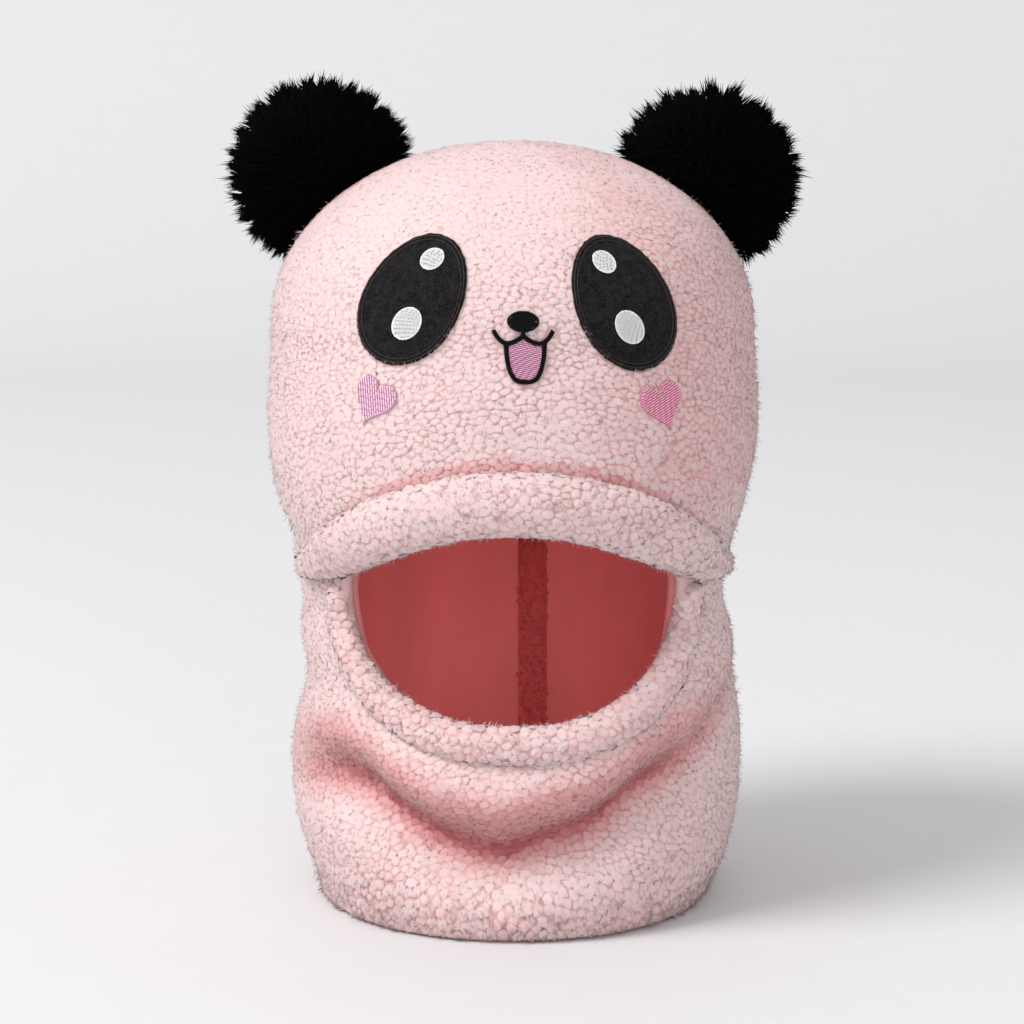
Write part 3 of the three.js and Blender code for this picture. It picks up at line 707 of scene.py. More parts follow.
class Shader:
    """One material and its nodes."""

    def __init__(self, name):
        self.material = bpy.data.materials.new(name)
        self.material.use_nodes = True
        self.tree = self.material.node_tree
        self.tree.nodes.clear()

    def node(self, kind, settings=None, **sockets):
        """A node of a type. Its settings come first, then its sockets, by name or as i0, i1 for
        their number."""
        made = self.tree.nodes.new("ShaderNode" + kind)
        for key, value in (settings or {}).items():
            if key == "stops":
                self.set_stops(made.color_ramp, value)
            else:
                setattr(made, key, value)
        for key, value in sockets.items():
            by_number = key[0] == "i" and key[1:].isdigit()
            socket = made.inputs[int(key[1:])] if by_number else made.inputs[key.replace("_", " ")]
            if isinstance(value, Value):
                self.tree.links.new(value.socket, socket)
            else:
                socket.default_value = value
        return made

    @staticmethod
    def set_stops(ramp, stops):
        while len(ramp.elements) < len(stops):
            ramp.elements.new(1)
        for element, (place, value) in zip(ramp.elements, stops):
            element.position = place
            element.color = (value, value, value, 1)

    def number(self, kind, settings=None, output=0, **sockets):
        """A node's output as a value."""
        return Value(self, self.node(kind, settings, **sockets).outputs[output])

    def place(self):
        """Where a point of the surface is, in the object's own coordinates."""
        return self.number("TexCoord", output=3)

    def stretched(self, scale):
        """The place, scaled by three numbers."""
        return self.number("VectorMath", {"operation": "MULTIPLY"}, i0=self.place(), i1=scale)

    def noise(self, scale, detail=2.0, stretch=None):
        """A noise of a scale, in turns to the metre."""
        where = self.stretched(stretch) if stretch else self.place()
        return self.number("TexNoise", Vector=where, Scale=scale, Detail=detail)

    def ramp(self, value, stops):
        """A value led through a ramp of grey stops."""
        return self.number("ValToRGB", {"stops": stops}, Fac=value)

    def blend(self, share, first, second):
        """A colour between two."""
        settings = {"data_type": "RGBA"}
        return self.number("Mix", settings, output=2, i0=share, i6=first, i7=second)

    def tone(self):
        """How far up the pile a point is, lowered where shade is painted into crevices and folds."""
        settings = {"attribute_type": "GEOMETRY", "attribute_name": "tone"}
        return self.number("Attribute", settings, output=2)

    def bump(self, height, distance, strength=1.0):
        """A normal that follows a height."""
        return self.number("Bump", Height=height, Distance=distance, Strength=strength)

    def finish(self, colour, roughness, normal=None, through=None, **sockets):
        """The surface itself, and the finished material. Some light comes through it in the colour
        `through`."""
        linked = {"Base_Color": colour, "Roughness": roughness}
        if normal is not None:
            linked["Normal"] = normal
        surface = self.number("BsdfPrincipled", **linked, **sockets)
        if through is not None:
            shone = self.number("BsdfTranslucent", Color=(*through, 1))
            surface = self.number("MixShader", Fac=0.35, i1=surface, i2=shone)
        self.node("OutputMaterial", Surface=surface)
        return self.material


def plush(name, deep, root, tip, sheen, roughness=0.9, drift=0.12, through=None, gloss=0.1):
    """Pile of one colour, with shade painted in by its tone: the deep colour in the folds, the root
    colour deep in the pile and between its clumps, and the tip colour on top, with soft drifts of
    tone at random. `through` is the colour of the light that comes through its hairs."""
    shader = Shader(name)
    drifts = shader.noise(38, 3) * 0.6 + shader.noise(9, 1) * 0.4
    height = shader.tone() + (drifts - 0.5) * drift * 6
    # Painted shade: low tones take the root colour, the lowest the deep colour.
    upper = shader.ramp(height, [(0.05, 0.0), (0.8, 1.0)])
    lower = shader.ramp(height + 0.6, [(0.0, 0.0), (0.6, 1.0)])
    colour = shader.blend(lower, (*deep, 1), shader.blend(upper, (*root, 1), (*tip, 1)))
    fibres = shader.noise(2600, 2) + shader.noise(900, 2) * 0.8
    return shader.finish(
        colour,
        roughness,
        shader.bump(fibres, 0.0003, 0.5),
        through,
        Sheen_Weight=sheen,
        Sheen_Roughness=0.5,
        Specular_IOR_Level=gloss,
    )


def thread(name, colour, dark, roughness=0.42, shine=0.35):
    """Shiny embroidery thread, whose strands lie finely side by side."""
    shader = Shader(name)
    strands = shader.noise(1800, 3)
    share = shader.ramp(strands, [(0.3, 0.0), (0.7, 1.0)])
    mixed = shader.blend(share, (*dark, 1), (*colour, 1))
    return shader.finish(mixed, roughness, shader.bump(strands, 0.0002, 0.5), Specular_IOR_Level=shine)


def felt(name, dark, light):
    """Flat needled felt: short fibres matted every way."""
    shader = Shader(name)
    fibres = shader.noise(1400, 4) * 0.6 + shader.noise(420, 3) * 0.4
    share = shader.ramp(fibres, [(0.38, 0.0), (0.64, 1.0)])
    mixed = shader.blend(share, (*dark, 1), (*light, 1))
    return shader.finish(
        mixed,
        0.95,
        shader.bump(fibres, 0.0004, 0.7),
        Sheen_Weight=0.06,
        Specular_IOR_Level=0.1,
    )


# Sizes and colours that can be changed


def number(label, text, default, **kind):
    """A number that can be changed."""
    return FloatProperty(name=label, description=text, default=default, **kind)


def length(label, text, default):
    """A length in metres."""
    return number(label, text, default, unit="LENGTH", precision=5)


def share(label, text, default):
    """A share from 0 to 1."""
    return number(label, text, default, subtype="FACTOR", min=0, max=1)


def power(label, text, default):
    """A lamp's power in watts."""
    return number(label, text, default, unit="POWER")


def colour(label, text, default):
    """A colour."""
    limits = {"size": 3, "subtype": "COLOR", "min": 0, "max": 1}
    return FloatVectorProperty(name=label, description=text, default=default, **limits)


class HoodFleeceSettings(bpy.types.PropertyGroup):
    """The pink fleece."""

    clump_size: length("Clump size", "The least distance between the middles of two clumps", 0.0022)
    pile_length: length("Pile length", "Of a hair", 0.0022)
    hair_width: length("Hair width", "How broad a lock of the pile is at its root", 0.0004)
    # The deep colour is painted shade in the folds and the neck's crease; the root colour is painted shade
    # deep in the pile and between its clumps; the tip colour is the fleece's own pale pink.
    fold_shade_colour: colour("Deep colour", "In the folds of the cloth", (0.50, 0.14, 0.15))
    root_shade_colour: colour("Root colour", "Deep in the pile", (0.86, 0.46, 0.46))
    tip_colour: colour("Tip colour", "At the pile's tips", (0.98, 0.80, 0.80))


class HoodLiningSettings(bpy.types.PropertyGroup):
    """The rose lining."""

    fold_depth: length("Fold depth", "How deep its soft folds are", 0.0016)
    colour: colour("Colour", "Of the lining", (0.84, 0.22, 0.22))
    # Painted light: the lining glows by emission, though it is no lamp, in place of light that comes
    # through the cloth.
    painted_glow: share("Glow", "How much of the light outside comes through the cloth", 0.2)
    # Painted shade on the lining's edge round the face hole.
    rim_shade_colour: colour("Rim colour", "Of the lining's shaded edge round the face hole", (0.30, 0.12, 0.11))
    strip_colour: colour("Strip colour", "Of the fleecy strip down the back", (0.74, 0.15, 0.15))


class HoodBindingSettings(bpy.types.PropertyGroup):
    """The padded brim and the collar roll."""

    brim_height: length("Brim height", "Across the brim at its middle", 0.0245)
    brim_padding: length("Brim padding", "Through the brim at its middle", 0.015)
    collar_height: length("Collar height", "Across the collar roll", 0.014)
    collar_padding: length("Collar padding", "Through the collar roll", 0.0105)
    fullness: share("Fullness", "How tightly the rolls are stuffed", 0.7)


class HoodEarSettings(bpy.types.PropertyGroup):
    """The fur ears."""

    spacing: length("Spacing", "Between the ears' middles", 0.138)
    height: length("Height", "Of the ears' middles over the ground", 0.2585)
    radius: length("Radius", "Of an ear's stuffed disc", 0.0285)
    thickness: length("Thickness", "Through an ear's stuffed disc", 0.021)
    fur_length: length("Fur length", "From an ear's cloth to its fur's tips", 0.0076)
    fur_colour: colour("Fur colour", "Of the ears' fur", (0.0012, 0.0012, 0.0017))


class HoodFaceSettings(bpy.types.PropertyGroup):
    """The animal's face."""

    felt_colour: colour("Felt colour", "Of the eye patches", (0.0072, 0.0068, 0.0075))
    glint_colour: colour("Glint colour", "Of the white thread", (0.93, 0.93, 0.95))
    heart_colour: colour("Heart colour", "Of the left heart's thread", (0.92, 0.67, 0.80))
    other_heart_colour: colour("Other heart colour", "Of the right heart's thread", (0.92, 0.44, 0.58))
    tongue_colour: colour("Tongue colour", "Of the tongue's thread", (0.82, 0.42, 0.60))
    thread_width: length("Thread width", "Of one embroidery thread", 0.00046)
    row_spacing: length("Row spacing", "Between the rows of a stitched fill", 0.00048)


class HoodStageSettings(bpy.types.PropertyGroup):
    """The floor, the light and the camera."""

    floor_colour: colour("Floor colour", "Of the floor and the backdrop", (0.69, 0.688, 0.70))
    key_power: power("Key power", "Of the light from the front left", 195)
    front_power: power("Front power", "Of the light near the camera", 25)
    fill_strength: number("Fill strength", "Of the even light all round", 0.69)
    lens: number("Lens", "The camera's focal length in millimetres", 112.7)


SETTINGS = {
    "hood_fleece": HoodFleeceSettings,
    "hood_lining": HoodLiningSettings,
    "hood_binding": HoodBindingSettings,
    "hood_ears": HoodEarSettings,
    "hood_face": HoodFaceSettings,
    "hood_stage": HoodStageSettings,
}


# The animal's face, seen from the front

FACE_SHIFT = 0.0014
FACE_TURN = 2.6
NOSE_SHIFT = 0.003
EYE_SPACING = 0.0693
EYE_HEIGHT = 0.2198
EYE_WIDTH = 0.0313
EYE_TALL = 0.047
EYE_TILT = 30
FELT_THICKNESS = 0.0013
THREAD_THICKNESS = 0.0009
NOSE_HEIGHT = 0.214
NOSE_WIDTH = 0.0106
NOSE_TALL = 0.0068
MOUTH_WIDTH = 0.0196
MOUTH_LINE = 0.0015
MOUTH_DROP = 0.0013
SMILE_DIP = 0.0028
SMILE_RISE = 0.0039
TONGUE_WIDTH = 0.0126
TONGUE_TALL = 0.0132
TONGUE_SHIFT = 0.0007
HEART_SPACING = 0.0965
HEART_HEIGHT = 0.1853
HEART_WIDTH = 0.0138
HEART_TALL = 0.0164
HEART_TILT = 21.5
SMILE_HEIGHT = NOSE_HEIGHT - NOSE_TALL / 2 - MOUTH_DROP
LIP_TOP = SMILE_HEIGHT - SMILE_DIP * 0.7
SIDES = (("left", -1), ("right", 1))


class Patch:
    """A flat shape on the face: its middle, its tilt, and its outline at a turn, before it is
    tilted."""

    def __init__(self, x, height, tilt, outline):
        self.x = x
        self.height = height
        self.cos = math.cos(math.radians(tilt))
        self.sin = math.sin(math.radians(tilt))
        self.outline = outline

    def turned(self, across, up):
        """x and height of a spot of the untilted patch."""
        x = self.x + across * self.cos + up * self.sin
        height = self.height - across * self.sin + up * self.cos
        return x, height

    def untilted(self, x, height):
        """Across and up of a spot, on the untilted patch."""
        dx, dh = x - self.x, height - self.height
        return dx * self.cos - dh * self.sin, dx * self.sin + dh * self.cos

    def points(self, across, up, lift):
        """Points off the body over spots of the untilted patch."""
        x, height = self.turned(across, up)
        return off_features(x, height, lift)

    def covers(self, points, grow):
        """Which points of the hood lie behind the patch, grown by a distance."""
        front = points[:, 1] < SET_BACK
        across, up = self.untilted(points[:, 0], points[:, 2] + points[:, 0] * math.tan(HEAD_LEAN))
        edge = np.stack(self.outline(np.linspace(0, 2 * math.pi, 61)[:-1]), 1)
        edge = edge * (1 + grow / np.linalg.norm(edge, axis=1).mean())
        return front & inside_outline(edge, np.stack([across, up], 1))


def off_features(x, height, lift):
    """A point off the face, on the leaning lines that the animal's features keep."""
    return off_face(x, height - x * math.tan(HEAD_LEAN), lift)


def egg(width, tall, narrowing=0.07):
    """An oval that is a little narrower at its top."""

    def outline(turn):
        return width / 2 * np.cos(turn) * (1 - narrowing * np.sin(turn)), tall / 2 * np.sin(turn)

    return outline


def oval(width, tall):
    """A plain oval."""
    return egg(width, tall, 0)


def heart(width, tall):
    """The usual heart curve, 29 units tall, with its middle 2.5 units below its origin."""

    def outline(turn):
        rise = 13 * np.cos(turn) - 5 * np.cos(2 * turn) - 2 * np.cos(3 * turn) - np.cos(4 * turn)
        return width / 2 * np.sin(turn) ** 3, tall / 29 * (rise + 2.5)

    return outline


def lip_x(turn):
    """How far across the lip round the tongue is, at a turn."""
    return TONGUE_SHIFT + TONGUE_WIDTH / 2 * squared(np.cos(turn), 0.6)


def tongue_outline(turn):
    """The tongue fills the lip up to the mouth's curves."""
    drop = 0.4 * TONGUE_TALL
    reach = np.where(np.sin(turn) > 0, drop + SMILE_DIP / 2, TONGUE_TALL - drop)
    return lip_x(turn) - TONGUE_SHIFT, reach * np.sin(turn)


def eye_patch(side):
    """One eye's felt."""
    x = FACE_SHIFT + side * EYE_SPACING / 2
    return Patch(x, EYE_HEIGHT, FACE_TURN - side * EYE_TILT, egg(EYE_WIDTH, EYE_TALL))


def heart_patch(side):
    """One cheek's heart."""
    x = FACE_SHIFT + side * HEART_SPACING / 2
    return Patch(x, HEART_HEIGHT, FACE_TURN - side * HEART_TILT, heart(HEART_WIDTH, HEART_TALL))


def nose_patch():
    """The nose."""
    return Patch(NOSE_SHIFT, NOSE_HEIGHT, 0, oval(NOSE_WIDTH, NOSE_TALL))


def tongue_patch():
    """The tongue, inside the lip."""
    return Patch(NOSE_SHIFT + TONGUE_SHIFT, LIP_TOP - 0.4 * TONGUE_TALL, 0, tongue_outline)


# Each eye's glints: the name, how far towards the nose and up as shares of the eye, the width, the
# height and the tilt.
GLINTS = (("upper", 0.208, 0.276, 0.0063, 0.0088, 56), ("lower", -0.055, -0.162, 0.009, 0.012, 36))


def glint_patch(side, inward, up, width, tall, tilt):
    """One glint, on one eye."""
    x = FACE_SHIFT + side * EYE_SPACING / 2 - side * inward * EYE_WIDTH
    return Patch(x, EYE_HEIGHT + up * EYE_TALL, FACE_TURN - side * tilt, oval(width, tall))


def mouth_lines():
    """The mouth's lines as x and height: its stem, its two curves and the lip round the tongue."""
    share_out = np.linspace(0, 1, 24)
    dip = SMILE_DIP * np.sin(share_out * math.pi * 0.75)
    curve_height = SMILE_HEIGHT - dip + SMILE_RISE * share_out**4
    turn = np.linspace(0, math.pi, 40)
    lines = [np.stack([np.zeros(4), np.linspace(NOSE_HEIGHT - NOSE_TALL / 2, SMILE_HEIGHT, 4)], 1)]
    lines += [np.stack([side * share_out * MOUTH_WIDTH / 2, curve_height], 1) for _, side in SIDES]
    lines.append(np.stack([lip_x(turn), LIP_TOP - TONGUE_TALL * np.sin(turn)], 1))
    for line in lines:
        line[:, 0] += NOSE_SHIFT
    return lines


def near_mouth(points, reach):
    """Which points of the hood lie behind the mouth's lines."""
    front = points[:, 1] < SET_BACK
    spots = np.stack([points[:, 0], points[:, 2] + points[:, 0] * math.tan(HEAD_LEAN)], 1)
    near = np.zeros(len(points), bool)
    for x, height in np.concatenate(mouth_lines()):
        near |= (spots[:, 0] - x) ** 2 + (spots[:, 1] - height) ** 2 < reach**2
    return front & near


# The pink fleece


def warp_body(points):
    """Maps the hood so that its clumps come out as short rows, which rise towards the middle and
    are closest on the brow, and as upright locks at the hem."""
    x, y, z = points.T
    above = np.clip((z - 0.16) / 0.05, 0, 1)
    brow = 0.05 * above**2 / 2 + np.maximum(z - 0.21, 0)
    rows = z + 0.3 * brow - 0.45 * np.minimum(z, 0.02) + 0.3 * np.sqrt(x**2 + 0.03**2)
    return np.stack([x * 0.76, y * 0.76, rows], 1)


def spread_body(points):
    """The clumps behind are larger."""
    behind = np.clip((points[:, 1] - SET_BACK + 0.02) / 0.06, 0, 1)
    return 1 + 0.42 * behind


def crease_share(angle, height):
    """How deep in the neck's crease a point lies, from 0 to 1."""
    fold_height, depth = fold_row(angle)
    above = (height - fold_height) / FACE_DEPTH
    return np.exp(-((above / 0.07) ** 2)) * np.clip(depth / (0.1 * FACE_DEPTH), 0, 1)


def bulge_share(angle, height):
    """How far up the smooth bulge over the neck's crease a point lies, from 0 to 1."""
    fold_height, depth = fold_row(angle)
    above = (height - fold_height) / FACE_DEPTH
    return np.exp(-(((above - 0.13) / 0.11) ** 2)) * np.clip(depth / (0.1 * FACE_DEPTH), 0, 1)


def lay_body(points, normals):
    """The fleece is brushed downwards, to the side on the left cheek and round the neck's bulge."""
    x, y, z = points.T
    angle = np.arctan2(x, SET_BACK - y)
    left = np.exp(-(((angle + 0.95) / 0.55) ** 2))
    right = np.exp(-(((angle - 0.9) / 0.5) ** 2))
    slant = 0.7 * left - 0.6 * right + 2.5 * bulge_share(angle, z)
    way = np.stack([-slant * np.cos(angle), -slant * np.sin(angle), -np.ones(len(x))], 1)
    crown = np.clip((z - 0.24) / 0.03, 0, 1)[:, None]
    forward = np.array([0.0, -1.0, -0.25])
    way = way * (1 - crown) + forward * crown
    return unit(way - normals * (way * normals).sum(1)[:, None])


def curl_body(points):
    """How much the pile's way of lying turns from clump to clump: most round the hole and on the
    neck."""
    z = points[:, 2]
    neck = np.exp(-(((z - 0.09) / 0.04) ** 2))
    return 0.35 + 0.7 * neck


def parting_body(points):
    """How strongly the pile parts into clumps, from 0 to 1: least on the crown and on the neck's
    bulge."""
    x, y, z = points.T
    angle = np.arctan2(x, SET_BACK - y)
    crown = np.clip((z - 0.225) / 0.035, 0, 1)
    right_side = np.exp(-(((angle - 1.1) / 0.4) ** 2)) * np.clip((z - 0.12) / 0.03, 0, 1)
    rows = np.sin(z * 120 + 1.7 * np.sin(x * 70 + 1))
    drift = 0.5 + 0.5 * np.sin(x * 150 + 2 * np.sin(z * 90)) * rows
    even = np.maximum(bulge_share(angle, z), crease_share(angle, z))
    left_brow = np.exp(-(((angle + 0.75) / 0.4) ** 2)) * np.clip((z - 0.2) / 0.02, 0, 1)
    smooth = np.maximum(0.88 * crown, 0.6 * left_brow)
    behind = np.clip((np.abs(angle) - 1.3) / 0.6, 0, 1)
    front_parting = (1 - smooth) * (1 - 0.5 * right_side) * (1 - 0.85 * even) * (0.5 + 0.5 * drift)
    return front_parting * (1 - 0.4 * behind)


def outer_side(angle, travel):
    """The fleece's face, with its lower edge turned in."""
    height = travel * SHOULDER_HEIGHT
    turned = np.clip(1 - height / HEM_TURN, 0, 1)
    lift = -HEM_TURN * (1 - np.sqrt(np.clip(1 - turned**2, 0, 1)))
    return off_body(angle, np.maximum(travel, 0), lift)


def body_shape():
    """The fleece's wall, and how many of its points are on its face."""
    columns, rows = ((168, 112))

    def inner(angle, travel):
        return off_body(angle, np.maximum(travel, 0.002), np.full(len(angle), -FLEECE_WALL))

    return hood_wall(columns, rows, 2, outer_side, inner, False)


def patches():
    """Every patch of felt or stitching that lies on the fleece."""
    found = [nose_patch(), tongue_patch()]
    for _, side in SIDES:
        found += [eye_patch(side), heart_patch(side)]
    return found


def under_patches(points, grow):
    """Which points are covered by the animal's features."""
    covered = near_mouth(points, MOUTH_LINE / 2 + grow)
    for patch in patches():
        covered |= patch.covers(points, grow)
    return covered


def seam_share(points):
    """How near a point at the front of the hood lies to the seam along the brim's top edge, from
    0 to 1."""
    x, z = points[:, 0], points[:, 2]
    share_out = np.clip(np.abs(x) / (BRIM_SPAN / 2), 0, 1)
    top = OPENING_CORNER_HEIGHT + OPENING_RISE + BRIM_RISE - BRIM_DROOP * share_out**2.2
    top = top + 0.0125 * (1 - 0.96 * share_out**6) ** 0.5
    near = np.exp(-(((z - top) / 0.0022) ** 2)) * (np.abs(x) < BRIM_SPAN / 2)
    return near * (points[:, 1] < SET_BACK)


class HOOD_OT_fleece(bpy.types.Operator):
    """Build the hood's fleece: its backing and its pile"""

    bl_idname = "hood.fleece"
    bl_label = "Fleece"

    def execute(self, context):
        settings = context.scene.hood_fleece
        rng = np.random.default_rng(11)
        material = pink_plush(context)
        wall, fine_count = body_shape()
        # The backing's tone is lowered where it shows between the clumps and by the painted shade of the
        # folds, seam, right side, hem and ears.
        shade = self.shade(wall.points)
        tone = 0.85 - 0.45 * parting_body(wall.points) - shade
        make_piece("hood_fleece", wall, material, tone, ["hood_shell"])
        outer = [each[(each < fine_count).all(1)] for each in wall.faces]
        skin = Shape(wall.points, outer)
        size = settings.clump_size * CLUMP_SHARE
        clumps = Clumps(skin, size, warp_body, lay_body, curl_body, rng, spread_body)
        covered = under_patches(clumps.points, -0.0016)

        density = PILE_DENSITY
        roots, normals = scatter(skin, density, rng)
        angle = np.arctan2(roots[:, 0], SET_BACK - roots[:, 1])
        behind = np.clip((np.abs(angle) - 1.7) / 0.3, 0, 1)
        chance = 1 - 0.75 * behind
        keep = rng.random(len(roots)) < chance
        keep &= ~under_patches(roots, -0.0002) & (normals[:, 2] > -0.9)
        roots, normals, angle, behind = roots[keep], normals[keep], angle[keep], behind[keep]
        height = roots[:, 2]
        parting = parting_body(roots)
        coat = Coat(len(roots), settings.pile_length, settings.hair_width, 0.26, 0.8, parting)
        hem = np.clip(1 - height / 0.018, 0, 1)
        crown = np.clip((height - 0.225) / 0.035, 0, 1)
        coat.length *= 1 + 0.8 * hem
        coat.stand += 0.2 * hem - 0.12 * crown
        coat.gather += 0.25 * hem
        coat.length[under_patches(roots, 0.0016)] *= 0.7
        coat.fluff(0.2 * (1 - crown), rng)
        coat.width *= 1 + 0.9 * behind
        # The painted shade, taken off the pile's tone below.
        deeper = self.shade(roots)
        front = np.abs(angle) < math.pi / 2
        for name, part in (
            ("crown", front & (height > CROWN_LINE)),
            ("brow", front & (height > BROW_LINE) & (height <= CROWN_LINE)),
            ("cheeks", front & (height > CHEEK_LINE) & (height <= BROW_LINE)),
            ("neck", front & (height > SKIRT_LINE) & (height <= CHEEK_LINE)),
            ("skirt", front & (height <= SKIRT_LINE)),
            ("back", ~front & (height > NAPE_LINE)),
            ("nape", ~front & (height <= NAPE_LINE)),
        ):
            grown, tones = pile(roots[part], normals[part], clumps, coat.part(part), rng)
            tones = tones - np.repeat(deeper[part], 4)
            make_piece(f"hood_pile_{name}", grown, material, tones)
        height = clumps.points[:, 2]
        front = clumps.points[:, 1] < SET_BACK
        for name, part in (
            ("brow", front & (height > BROW_LINE)),
            ("cheeks", front & (height > NECK_TUFT_LINE) & (height <= BROW_LINE)),
            ("neck", front & (height <= NECK_TUFT_LINE)),
            ("back", ~front),
        ):
            chosen = np.nonzero(part & ~covered)[0]
            spots = clumps.points[chosen]
            sides, widest = (6, 0.0034) if name == "back" else (7, 0.0026)
            made, tones = tufts(
                clumps, chosen, parting_body(spots), self.shade(spots), widest, sides, rng
            )
            make_piece(f"hood_tufts_{name}", made, material, tones)
        self.fringe(clumps, material, settings, rng)
        return {"FINISHED"}

    def shade(self, points):
        """How much shade is painted into the fleece's colour: in the neck's crease and on the bulge
        over it, along the seam over the brim, on the right side away from the key light, towards the
        hem, and where the ears shade the crown."""
        angle = np.arctan2(points[:, 0], SET_BACK - points[:, 1])
        height = points[:, 2]
        # Painted shade in the crease and on the bulge over it, and along the seam over the brim.
        folds = 1.15 * crease_share(angle, height) + 0.95 * bulge_share(angle, height)
        folds = folds + 0.7 * seam_share(points)
        # Painted shade on the right side, which faces away from the key light.
        right_side_shade = np.clip((angle - 0.15) / 0.4, 0, 1) * np.clip((height - 0.14) / 0.02, 0, 1)
        folds = folds + 0.35 * right_side_shade * np.clip((1.9 - angle) / 0.7, 0, 1)
        # Painted shade towards the hem.
        folds = folds + 0.2 * np.clip(1 - height / 0.05, 0, 1)
        # Painted shadow round the ears' bases.
        ears = bpy.context.scene.hood_ears
        for _, side in SIDES:
            x = side * ears.spacing / 2
            middle = np.array([x, SET_BACK + 0.004, ears.height - x * math.tan(HEAD_LEAN)])
            away = np.linalg.norm((points - middle) * (1, 1.6, 1), axis=1) - ears.radius
            folds = folds + 0.75 * np.exp(-np.maximum(away, 0) / 0.0035)
        return folds

    def fringe(self, clumps, material, settings, rng):
        """The pile that laps over the lower edges of the eyes and round the hearts."""
        rows = []
        for _, side in SIDES:
            rows.append((eye_patch(side), math.pi * 1.0, math.pi * 2.0, 420))
            rows.append((heart_patch(side), 0.0, math.pi * 2.0, 300))
        rows.append((nose_patch(), 0.0, math.pi * 2.0, 70))
        rows.append((tongue_patch(), math.pi * 1.05, math.pi * 1.95, 90))
        roots, lays = [], []
        for patch, start, end, count in rows:
            turn = rng.uniform(start, end, count)
            across, up = patch.outline(turn)
            grow = 1 + rng.uniform(0.01, 0.05, count)
            root = patch.points(across * grow, up * grow, 0)
            inner = patch.points(across * 0.8, up * 0.8, 0)
            roots.append(root)
            lays.append(unit(inner - root))
        roots, lays = np.concatenate(roots), np.concatenate(lays)
        travel = travel_at(roots[:, 2])
        normals = body_normal(np.arctan2(roots[:, 0], SET_BACK - roots[:, 1]), travel)
        coat = Coat(len(roots), settings.pile_length, settings.hair_width * 0.9, 0.75, 0.5, 0.3)
        coat.length *= rng.uniform(0.75, 1.15, len(roots))
        grown, tones = pile(roots, normals, clumps, coat, rng, lays)
        # The fringe's tone is lowered: painted shade where the pile meets the features' edges.
        make_piece("hood_pile_fringe", grown, material, tones - 0.1)


def pink_plush(context):
    """The pink fleece's material, made once."""
    settings = context.scene.hood_fleece
    found = bpy.data.materials.get("plush_pink")
    if found:
        return found
    tip = settings.tip_colour
    light_through = (tip[0], tip[1] * 0.75, tip[2] * 0.75)
    # The deep and root colours are painted shade.
    deep, root = settings.fold_shade_colour, settings.root_shade_colour
    return plush("plush_pink", deep, root, tip, 0.45, drift=0.05, through=light_through)


# The lining


def lining_folds(angle, travel, depth):
    """The lining's soft upright folds, deepest at mid height."""
    waves = (
        np.sin(angle * 9 + 1.1 * np.sin(travel * 3))
        + 0.6 * np.sin(angle * 17 + 2 + 1.6 * np.sin(travel * 4 + angle))
        + 0.4 * np.sin(angle * 5 + travel * 5)
    )
    hang = np.clip(travel / 0.15, 0, 1) * np.clip((1.9 - travel) / 0.5, 0, 1)
    return depth * hang * (waves + 2) / 4


